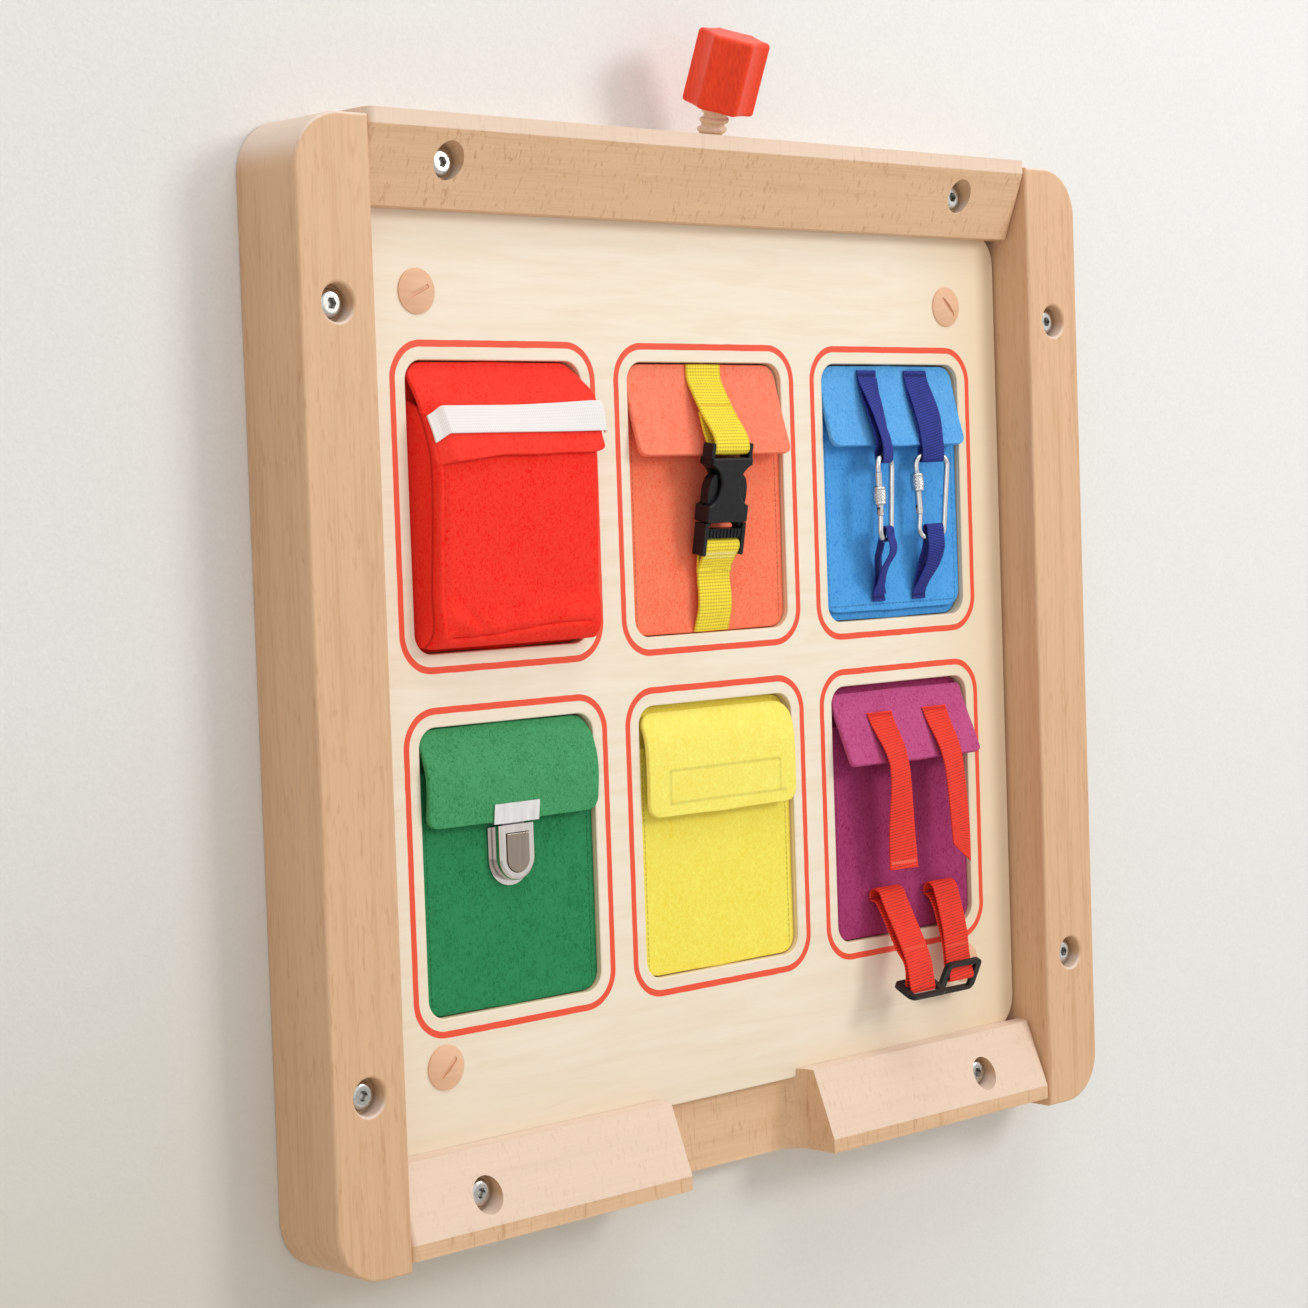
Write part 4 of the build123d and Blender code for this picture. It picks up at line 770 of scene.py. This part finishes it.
# %% Woven finish
def weave(name, rgb, rib, thread, edge_at, twill=0.0, relief=0.25, deep=0.72, stitch=(), turn=False):
    """Woven band: ribs every rib mm along it, slanted by twill, threads every thread mm across, and a
    darker selvedge past edge_at. stitch holds (v, low, high, colour) rows of thread; turn lays the
    ribs lengthwise."""
    band = Finish(name, Roughness=0.72, **{"Sheen Weight": 0.18, "Specular IOR Level": 0.3})
    band.shader.inputs["Sheen Tint"].default_value = light_of(rgb)
    u, v, _ = band.split(band.where(uv=True))
    if turn:
        u, v = v, u
    slant = band.plus(v, band.times(u, twill))
    ribs = band.math("DIVIDE", band.math("PINGPONG", slant, rib / 2), rib / 2)
    warp = band.math("DIVIDE", band.math("PINGPONG", u, thread / 2), thread / 2)
    soil = band.noise(band.where(), 0.12, 3.0, 0.6)
    height = band.plus(band.times(band.math("POWER", ribs, 0.6), 0.7), band.times(warp, 0.3))
    # painted shade and highlight: the colour darkens to deep in the valleys between ribs and brightens on
    # their tops
    tint = band.ramp(height, [(0.2, light_of(rgb, deep)), (0.6, light_of(rgb)), (0.95, light_of(rgb, 1.1))])
    tint = band.blend(band.fade(soil, 0.45, 0.75, 0.0, 0.22), tint, light_of(rgb, deep))
    selvedge = band.fade(band.math("ABSOLUTE", u), edge_at, edge_at + 0.5, 0.0, 0.35)
    tint = band.blend(selvedge, tint, light_of(rgb, 0.62))
    for place, start, end, thread_rgb in stitch:
        zig = band.math("PINGPONG", u, 0.8)
        line = band.band(band.plus(v, band.times(zig, 0.9)), place - 0.5, place + 1.1, 0.2)
        line = band.times(line, band.band(u, start, end, 0.2))
        tint = band.blend(band.times(line, 0.85), tint, light_of(thread_rgb))
        height = band.plus(height, band.times(line, 0.6))
    band.colour(tint)
    band.rough(height, 0.6, 0.85)
    band.bump(height, relief, 0.8)
    return band


# %% [markdown]
# The red flap is the liveliest: at the left its edge is held back by the elastic, at the
# right it bulges out, its lower edge waves, and the last corner turns up. The elastic is the
# same sheet carried a little further out, cut to its own strip and rolled round the right edge.

# %% Red flap and the elastic over it
red_half = 53.2
red_path = [(15.5, fold), (16.2, 65.5), (20.0, 60.0), (25.0, 53.0), (30.0, 44.0), (34.5, 35.0),
            (37.2, 27.5), (38.5, 21.0)]


def held_left(s, a):
    """0 to 1 over the last 10 mm before the left edge, once past the fold: where the elastic pulls."""
    return np.clip((-a - 42.5) / 10.0, 0, 1) * np.clip((s - 14) / 12.0, 0, 1)


def red_slide(s, a):
    """The lower edge: low at the left, higher to the right, with a short wave."""
    low = np.clip(s / 58.0, 0, 1) ** 2
    return low * (-3.3 - 3.2 * a / 53 - 1.2 * np.cos(a / 17.0 + 0.6) + 0.3 * np.sin(a / 6.3))


def red_lift(s, a):
    """Waves that grow towards the free edge, a bulge at the right, and the left side folded back."""
    a = np.clip(a, -red_half, red_half)
    low = np.clip(s / 58.0, 0, 1) ** 2
    corner = np.clip((a - 44) / 9.0, 0, 1) ** 2 * np.clip((s - 47) / 8.0, 0, 1)
    bulge = 4.6 * hill(s - 25, 13.0) * np.clip((a + 4) / 52.0, 0, 1) ** 1.4
    back = held_left(s, a) * np.clip((72 - s) / 16.0, 0, 1)
    return low * (0.5 * np.cos(a / 14.0 + 0.4)) + 1.2 * corner + bulge - 4.6 * back


def red_side(s, a):
    """The left edge is drawn in where the elastic holds it, the right one hangs out past the window."""
    hollow = np.sin(np.pi * np.clip(s / 58.0, 0, 1))
    return 3.4 * held_left(s, a) + 0.8 * hollow * (a > 0) * (a / 53.0) ** 2


red_grid = strip("red", red_path, red_half, rows=72, cols=64, corners=(9.5, 2.5), even=0.4,
                 lift=red_lift, slide=red_slide, side=red_side)
# painted light: the red flap's felt is a paler copy of the red wallet's colour
red_flap = soft("red_flap_felt", red_grid, felt_thick - 0.2, felt("red_felt_flap", (255, 68, 54)),
                "red_felt", "panel", "red_flap")

# %% Elastic band
band_thick, turn_at, turn_r = 1.1, 53.6, 3.4
line, run = curve(red_path, 400)
top_s, low_s = (float(np.interp(-z, -line[:, 1], run)) for z in (46.8, 34.2))
clear = (felt_thick + 1.2) / 2 + 0.35


def band_lift(s, a):
    """The flap's own lift, a step further out, and a part of a turn round its right edge."""
    turn = np.clip((a - turn_at) / turn_r, 0, 1.7)
    return red_lift(s, a) + clear - turn_r * (1 - np.cos(turn)) + 0.9 * np.clip((-a - 48.0) / 4.0, 0, 1)


def band_side(s, a):
    """As the flap goes sideways; past its right edge the band rolls back instead of going on."""
    turn = np.clip((a - turn_at) / turn_r, 0, 1.7)
    rolled = turn_r * np.sin(turn) - np.clip(a - turn_at, 0, 9)
    return red_side(s, np.clip(a, -red_half, turn_at)) + rolled * (a > turn_at)


def band_slide(s, a):
    """The sewn left end hangs a little lower."""
    return 3.2 * np.clip((-a - 44.0) / 10.0, 0, 1)


whole, whole_uv = strip("red", red_path, 58.6, rows=int(run[-1] * 4) + 1, cols=150,
                        lift=band_lift, side=band_side, slide=band_slide)
rows_kept = np.linspace(top_s * 4, low_s * 4, 15).round().astype(int)
cols_kept = np.flatnonzero(whole_uv[0, :, 0] > -54.6)
band_points = whole[np.ix_(rows_kept, cols_kept)]
band_uv = whole_uv[np.ix_(rows_kept, cols_kept)]
elastic = weave("elastic_weave", (236, 231, 229), 1.1, 1.6, 99, deep=0.92, turn=True, relief=0.07)
band_piece = soft("elastic_band_woven", (band_points, band_uv), band_thick, elastic, "elastic", "panel",
                  "elastic_band")

# %% [markdown]
# ## Webbing and the side-release buckle
#
# Yellow webbing is folded round the bar at each end of the buckle and sewn to itself. Each
# is one strip here, carried down its front, round the bar and up its back. The buckle's
# own parts are moulded plastic: black, slightly satin, with a fine spark-eroded texture.

# %% Buckle finish
plastic = Finish("moulded_black", Roughness=0.38, **{"Specular IOR Level": 0.25})
grit = plastic.noise(plastic.where(), 3.2, 2.0, 0.6)
flow = plastic.noise(plastic.where(), 0.3, 3.0, 0.5)
plastic.colour(plastic.ramp(flow, [(0.3, light_of((18, 18, 20))), (0.7, light_of((28, 28, 31)))]))
plastic.rough(flow, 0.3, 0.48)
plastic.bump(grit, 0.03, 0.5)
dress(plastic, "black_plastic", "buckle_socket", "buckle_plug", "buckle_prong_left", "buckle_prong_right",
      "slider_left", "slider_right")

# %% Webbing
buckle_tilt = radians(11.0)
webbing_half, webbing_thick, bar_r = 11.9, 1.4, 2.0
loop_r = bar_r + 0.3 + 0.75


def on_buckle(v):
    """(height, z) of a point v up the buckle's middle plane."""
    return 27.7 + v * sin(buckle_tilt), -12.5 + v * cos(buckle_tilt)


upper = [(17.75, 69.3), (17.95, 62.5), (21.0, 56.0), (27.6, 45.0)]
upper += arc(*on_buckle(38.8), loop_r, 8, -188, 14) + [(29.4, 35.0), (26.6, 44.2)]
lower = [(21.0, -38.5), (21.6, -31.0)] + arc(*on_buckle(-12.4), loop_r, 190, -20, 14)
lower += [(24.6, -31.5), (21.4, -36.5), (20.5, -42.0), (21.3, -50.0), (21.2, -58.0), (19.4, -64.5),
          (17.75, -69.3)]
yellow, ochre, cream = (252, 224, 62), (232, 192, 50), (255, 244, 160)
webbings = {
    "upper": (upper, webbing_half, "buckle_socket", [(23.6, -11, 11, ochre)]),
    "lower": (lower, [webbing_half] * 3 + [11.2, 11.5, webbing_half], "buckle_plug",
              [(28.2, -11, 11, cream), (30.6, -11, 11, (255, 240, 130))]),
}
for name, (path, half, end, sewn) in webbings.items():
    grid = strip("orange", path, half, rows=130, cols=16, lift=lambda s, a: 0.12 * np.cos(a / 3.6 + s / 9.0),
                 side=lambda s, a: 0.18 * np.sin(s / 6.0))
    length = float(grid[1][-1, 0, 1])
    cross = weave(name + "_webbing_weave", yellow, 1.75, 1.9, 10.8, relief=0.5, deep=0.6, stitch=sewn)
    made = soft(name + "_webbing_woven", grid, webbing_thick, cross, "yellow_webbing", "panel",
                name + "_webbing")
    print(name, "webbing", round(length, 1), "mm long")

# %% [markdown]
# ## Ribbons and carabiners
#
# On the blue wallet two locking carabiners hang in loops of navy ribbon: each loop goes down
# its front, round the wire, and back up behind. It turns with its carabiner as it nears it.
# The carabiners are drawn aluminium wire; each gate has a sleeve that screws over its end.

# %% Ribbon loops
navy, navy_thread = (44, 56, 146), (24, 30, 96)
hooks = {
    "left": dict(x=-18.0, hang=29.6, turn=-21.0, low_x=-13.0, top=7.6, low=5.0, out=4.0, sleeve=-2.0,
                 top_yaw=[0, -12, -27, -24, -21, -21, -7, -4, 0],
                 low_yaw=[0, -20, -24, -21, -21, -21, -24, -20, 0]),
    "right": dict(x=22.0, hang=28.6, turn=15.0, low_x=20.0, top=9.1, low=5.2, out=3.0, sleeve=4.7,
                  top_yaw=[0, 3, 7, 13, 15, 15, 6, 4, 0],
                  low_yaw=[0, -8, 4, 15, 15, 15, 4, -8, 0]),
}
wrap_r = 1.6 + 0.35 + 0.4


def ribbon(side, end, path, half, sewn_at, **how):
    """One loop of ribbon: a strip along the path that turns with the carabiner it hangs on."""
    hang = hooks[side]["hang"]
    sewn = [(sewn_at, -9, 9, navy_thread)] if end == "upper" else [(sewn_at, -6, 6, navy_thread)]
    woven = weave(f"{side}_{end}_ribbon", navy, 1.5, 1.0, 99, twill=0.25, relief=0.4, deep=0.28, stitch=sewn)
    grid = strip("blue", path, half, rows=120, pivot=hang, **how)
    made = soft(f"{side}_{end}_loop", grid, 0.75, woven, "navy_ribbon", "panel", f"{end}_loop_{side}")


for side, hook in hooks.items():
    x, hang, wide, bow = hook["x"], hook["hang"], hook["top"], hook["out"]
    path = [(18.0, 67.0), (18.3, 64.0), (22.9, 52.0), (28.0, 38.0), (hang + 1.6, 28.5),
            (hang + wrap_r + 0.2, 21.3)]
    path += arc(hang, 18.3, wrap_r, 0, -180, 10)
    path += [(hang - wrap_r - 0.2, 21.3), (28.4, 27.0), (28.2, 30.5), (24.9, 42.0), (20.0, 56.0),
             (18.6, 62.5)]
    ribbon(side, "upper", path, [wide, wide, wide - 0.3, 7.2, 7.0, 7.0, wide - 0.6, wide, wide], 2.6, x=x,
           cols=14, yaw=hook["top_yaw"], lift=lambda s, a: 0.1 * np.cos(a / 2.8 + s / 7.0))
    path = [(17.9, -60.4), (18.3, -57.0), (22.5, -50.0), (hang - 0.6, -40.5), (hang + bow, -31.0),
            (hang + wrap_r, -23.5)]
    path += arc(hang, -21.4, wrap_r, 0, 180, 10)
    path += [(hang - wrap_r, -23.5), (hang - bow, -30.0), (22.6, -38.5), (19.9, -49.0), (18.6, -56.5)]
    low_x = hook["low_x"]
    near = low_x + 0.3 * (x - low_x)
    ribbon(side, "lower", path, hook["low"], 2.2, x=[low_x, near, x, x, x, x, x, near, low_x], cols=10,
           yaw=hook["low_yaw"], lift=lambda s, a: 0.08 * np.cos(a / 2.2 + s / 6.0))

# %% [markdown]
# A sleeve is a lathe shape round the gate's own axis, which leans a little in the plane of
# its carabiner. Its profile is a list of (radius, distance along). The knurl is two sets of
# shallow waves that cross: cosines of the angle, twisted one way and the other.

# %% Carabiner metal and knurled sleeves
satin = metal("satin_aluminium", (208, 208, 210), 0.16, 0.3, (1.2, 1.2, 0.12), 0.02)
dress(satin, "satin_aluminium", "carabiner_left", "carabiner_right", "carabiner_gate_left",
      "carabiner_gate_right")

gate_foot, gate_head = (-8.8, -10.5), (-10.9, 19.4)
slope = (gate_head[0] - gate_foot[0]) / (gate_head[1] - gate_foot[1])
shoulder = np.array([(2.06, -5.0), (3.2, -5.0), (3.7, -4.5), (3.7, -3.4), (3.4, -3.2), (3.4, -2.9)])
grip = np.stack([np.full(16, 3.72), np.linspace(-2.7, 2.7, 16)], axis=1)
profile = np.concatenate([shoulder, grip, shoulder[::-1] * (1, -1)])
theta = np.linspace(0, 2 * np.pi, 60, endpoint=False)[None, :]
r, t = profile[:, :1], profile[:, 1:]
knurl = 0.16 * (np.cos(10 * theta + 3.4 * t) + np.cos(10 * theta - 3.4 * t)) * (np.abs(t) < 2.75) * (r > 3.6)
r = np.minimum(r + knurl - 0.1 * (r > 3.6), 3.79)
wx, wz = middles["blue"]
for side, hook in hooks.items():
    spin = radians(hook["turn"])
    to_x, to_front = np.array([cos(spin), -sin(spin), 0]), np.array([-sin(spin), -cos(spin), 0])
    off = gate_foot[0] + (hook["sleeve"] - gate_foot[1]) * slope
    centre = np.array([wx + hook["x"], -hook["hang"], wz]) + off * to_x + np.array([0, 0, hook["sleeve"]])
    axis = (slope * to_x + np.array([0, 0, 1.0])) / (1 + slope * slope) ** 0.5
    level = np.cross(axis, to_front)
    third = np.cross(axis, level)
    around = np.cos(theta)[..., None] * level + np.sin(theta)[..., None] * third
    shape = centre + (t + 0 * theta)[..., None] * axis + r[..., None] * around
    sleeve = surface("knurled_sleeve_" + side, np.concatenate([shape, shape[:1]]), wrap=True)
    sleeve.data.materials.append(satin.material)
    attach(sleeve, "sleeve_" + side)
    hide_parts("carabiner_sleeve_" + side)
    print("sleeve", side, "at", centre.round(1).tolist())

# %% [markdown]
# ## Clasp, patches and straps
#
# The green wallet has a nickel-plated clasp. The yellow one closes with a hook and loop
# patch: a mat of tiny loops below, stiff hooks above. On the purple one, grosgrain straps
# hang from the flap, and two short straps on the wallet carry plastic sliders.

# %% Clasp and patches
# painted reflections: one bright nickel gets three colours, a white plate, a greyer receiver and a dark
# brown-grey button, for the bright and dark surroundings each mirrors
nickel_reflected_tones = {"clasp_plate": ((252, 251, 249), 0.3, 0.3), "clasp_receiver": ((216, 209, 203), 0.34, 0.08),
           "clasp_button": ((156, 141, 128), 0.5, 0.08)}
for name, (rgb, scale, low) in nickel_reflected_tones.items():
    nickel = metal("nickel_" + name, rgb, low, low + 0.1, (scale, scale, 0.04), 0.006, hollow=0.0022)
    dress(nickel, "bright_nickel", name)
pile = felt("loop_pile", (250, 238, 140), [(side, 1.0, 16.0, True, 1) for side in (-39.6, 39.6)])
patch_x = middle_of("loop_patch")[0] - middles["yellow"][0]
for name, body in (("loop_patch", "panel"), ("hook_patch", "yellow_flap")):
    low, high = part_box(name)
    h0, h1 = -high.y * 1000, -low.y * 1000
    h = (h0 + h1) / 2
    grid = strip("yellow", [(h, 35.5), (h, 18.7)], 40.9, x=patch_x, rows=24, cols=60, corners=(1.2, 1.2))
    made = soft(name + "_pile", grid, h1 - h0 - 0.05, pile, "yellow_fastener", body, name)

# %% [markdown]
# Grosgrain is a ribbon with strong cross ribs. The long straps fall over the flap's edge and
# hang free: the left one twists and sways, the right one is cut at a slant, which slides
# the points of its last stretch up the path on one side.

# %% Long straps
red_ribbon, strap_half, strap_thick = (248, 60, 40), 9.8, 0.85


def grosgrain(name, stitch):
    """Red ribbon with strong ribs, and rows of stitches where it is sewn."""
    return weave(name, red_ribbon, 1.7, 0.9, 99, twill=0.1, relief=0.4, deep=0.42, stitch=stitch)


def slant(s, a, end):
    """The cut end: up to 12 mm shorter on the left, within the last 22 mm."""
    return -12.0 * (0.5 - a / 19.6) * np.clip((s - end + 22) / 22, 0, 1)


long_paths = {
    "left": (-20.1, [(22.0, 54.6), (24.1, 49.5), (28.2, 42.5), (32.6, 35.0), (35.4, 27.0), (36.4, 16.0),
                     (35.4, 0.0), (34.2, -16.0), (33.6, -32.0)]),
    "right": (25.4, [(22.0, 54.6), (24.1, 49.5), (27.8, 42.5), (32.0, 35.0), (35.0, 27.0), (37.2, 14.0),
                     (38.6, 0.0), (39.6, -16.0), (40.2, -33.0)]),
}
for name, (x, path) in long_paths.items():
    length = float(curve(path, 8)[1][-1])
    if name == "left":
        twist, hem = [0, -5, -12, -9, -2, 4, 8], [(length - 3.6, -9, 9, (255, 112, 90))]
        how = dict(side=lambda s, a, end=length: 3.4 * (s / end) ** 2)
    else:
        twist, hem = [0, -6, -11, -12, -12, -14], []
        how = dict(slide=lambda s, a, end=length: slant(s, a, end))
    ribbed = grosgrain("long_strap_weave_" + name, hem + [(1.6, -9, 9, (206, 34, 28))])
    grid = strip("purple", path, strap_half, x=x, rows=90, cols=14, yaw=twist,
                 lift=lambda s, a: 0.1 * np.cos(a / 3.0 + s / 8.0), **how)
    made = soft(name + "_long_strap", grid, strap_thick, ribbed, "red_ribbon", "purple_flap",
                "long_strap_" + name)

# %% [markdown]
# Each short strap goes down its front, round the slider's middle bar and up its back. It is
# one strip, whose path turns round the bar in an arc of the bar's radius and its own half.

# %% Short straps
short_paths = {
    "left": (-18.0, (44.6, -97.5),
             [(17.5, -48.5), (18.2, -45.2), (21.0, -43.2), (24.4, -44.6), (27.6, -50.5), (32.6, -60.0),
              (38.5, -70.5), (43.6, -81.5)],
             [(17.9, -49.6), (21.4, -50.4), (25.6, -56.0), (30.6, -65.0), (36.6, -76.0), (41.9, -83.0)]),
    "right": (27.0, (33.8, -98.0),
              [(17.5, -50.0), (18.2, -46.6), (20.8, -44.6), (23.8, -46.0), (26.4, -52.0), (29.2, -62.0),
               (31.7, -73.0), (33.2, -86.5)],
              [(17.9, -51.2), (20.8, -52.4), (23.9, -57.0), (27.0, -66.0), (29.9, -76.0), (31.5, -87.1)]),
}
for name, (x, (bar_h, bar_z), front, back) in short_paths.items():
    path = front + arc(bar_h, bar_z, 1.2 + 0.3 + 0.45, 20, -190, 14) + back[::-1]
    grid = strip("purple", path, strap_half, x=x, rows=130, cols=14,
                 lift=lambda s, a: 0.06 * np.cos(a / 3.0 + s / 8.0))
    length = float(grid[1][-1, 0, 1])
    ribbed = grosgrain("short_strap_weave_" + name, [(46.0, -9, 9, (240, 84, 62))])
    made = soft(name + "_short_strap", grid, strap_thick, ribbed, "red_ribbon", "panel",
                "short_strap_" + name)
    print(name, "short strap", round(length, 1), "mm long")

# %% [markdown]
# ## Wall, floor and light
#
# The board hangs on a plain wall over a pale floor. The wall is left out where the board
# covers it, so that the board's back is lit too when it is looked at from behind, and seen
# from behind the wall is clear. One large soft lamp high on the right gives the soft shadows
# to the left, one above lights the upper faces, a weak one fills from the camera's side, and
# the world's even white light does the rest. Together they show a colour about as written.


# %% Stage
def plane(name, corners, finish, faces=((0, 1, 2, 3),)):
    """A backdrop of flat quads between corners, in metres."""
    mesh = bpy.data.meshes.new(name)
    mesh.from_pydata(corners, [], faces)
    made = bpy.data.objects.new(name, mesh)
    bpy.context.scene.collection.objects.link(made)
    mesh.materials.append(finish.material)


plaster = Finish("plaster", Roughness=0.9, **{"Specular IOR Level": 0.1})
rubble = plaster.noise(plaster.where(), 0.5, 4.0, 0.7)
across, _, up = plaster.split(plaster.where())
# painted shade: the wall darkens towards its lower left, where the board's shadow falls
left = plaster.fade(across, 300.0, -340.0, 0.1, 1.0)
low = plaster.fade(up, 20.0, -340.0, 0.08, 1.0)
white = plaster.ramp(rubble, [(0.3, light_of((229, 228, 225))), (0.7, light_of((236, 235, 232)))])
plaster.colour(plaster.blend(plaster.times(left, low), white, light_of((209, 204, 190))))
plaster.bump(rubble, 0.5, 0.45)
behind = plaster.tree.nodes.new("ShaderNodeNewGeometry").outputs["Backfacing"]
shown = plaster.add("MixShader", {0: behind, 1: plaster.shader.outputs[0], 2: plaster.add("BsdfTransparent")})
plaster.tree.links.new(shown, plaster.tree.nodes["Material Output"].inputs["Surface"])

# %% Wall with its opening, and the floor
wall_y, round_r, half_wide, low_z, high_z = 0.0006, 0.026, 0.2775, -0.264, 0.269
wall_reach, wall_high, wall_low = 3.0, 2.2, 0.9
# a rounded rectangle of points, and the same points pushed straight out to the wall's edge
hole = []
for quarter, (sx, sz) in enumerate(((1, 1), (-1, 1), (-1, -1), (1, -1))):
    middle_z = high_z - round_r if sz > 0 else low_z + round_r
    for turn in np.radians(np.arange(0, 91, 6) + 90 * quarter):
        hole.append((sx * (half_wide - round_r) + round_r * cos(turn), middle_z + round_r * sin(turn)))
hole = np.array(hole)
limit = np.where(hole[:, 1] > 0, wall_high, wall_low)
reach = np.maximum(np.abs(hole[:, 0]) / wall_reach, np.abs(hole[:, 1]) / limit)
rim = np.concatenate([hole, hole / reach[:, None]])
count = len(hole)
rim_quads = [(i, i + count, (i + 1) % count + count, (i + 1) % count) for i in range(count)]
plane("wall", [(float(x), wall_y, float(z)) for x, z in rim], plaster, rim_quads)
ground = Finish("pale_floor", Roughness=0.8)
ground.colour(ground.ramp(ground.noise(ground.where(), 0.02, 3.0), [(0.3, light_of((226, 225, 222))),
                                                                     (0.7, light_of((234, 233, 230)))]))
plane("floor", [(x, y, -wall_low) for x, y in ((-3, -4), (3, -4), (3, 3), (-3, 3))], ground)


# %% Lamps and the world's light
def lamp(name, place, aim, size, power, colour=(1, 1, 1)):
    """A square area lamp at place, turned towards aim, in metres and watts."""
    data = bpy.data.lights.new(name, "AREA")
    data.size, data.energy, data.color = size, power, colour
    made = bpy.data.objects.new(name, data)
    bpy.context.scene.collection.objects.link(made)
    z = np.array(place, float) - np.array(aim, float)
    z /= np.linalg.norm(z)
    x = np.cross((0, 0, 1), z)
    x /= np.linalg.norm(x)
    made.matrix_world = Matrix([[*row, 0] for row in zip(x, np.cross(z, x), z)] + [[0, 0, 0, 1]])
    made.matrix_world.translation = place


lamp("key", (1.25, -2.0, 0.95), (0, 0, 0), 0.75, 20.5, (1.0, 0.99, 0.975))
lamp("ceiling", (0.1, -0.8, 2.0), (0, 0, 0), 1.5, 15.5)
lamp("fill", (-1.9, -2.1, 0.6), (0, 0, 0), 1.6, 7.0)
world = bpy.data.worlds.new("even_light")
bpy.context.scene.world = world
world.use_nodes = True
sky = world.node_tree.nodes["Background"]
sky.inputs[0].default_value = (1.0, 1.0, 1.0, 1.0)
rays = world.node_tree.nodes.new("ShaderNodeLightPath")
seen = rays.outputs["Is Camera Ray"]
for kind in ("Is Glossy Ray", "Is Transmission Ray"):
    either = world.node_tree.nodes.new("ShaderNodeMath")
    either.operation = "MAXIMUM"
    world.node_tree.links.new(seen, either.inputs[0])
    world.node_tree.links.new(rays.outputs[kind], either.inputs[1])
    seen = either.outputs[0]
glow = world.node_tree.nodes.new("ShaderNodeMapRange")
glow.inputs[3].default_value = 0.53  # on matt surfaces
glow.inputs[4].default_value = 1.0  # seen directly, mirrored or through glass
world.node_tree.links.new(seen, glow.inputs[0])
world.node_tree.links.new(glow.outputs[0], sky.inputs[1])
bpy.context.scene.view_settings.view_transform = "Standard"
print("stage and lamps done")
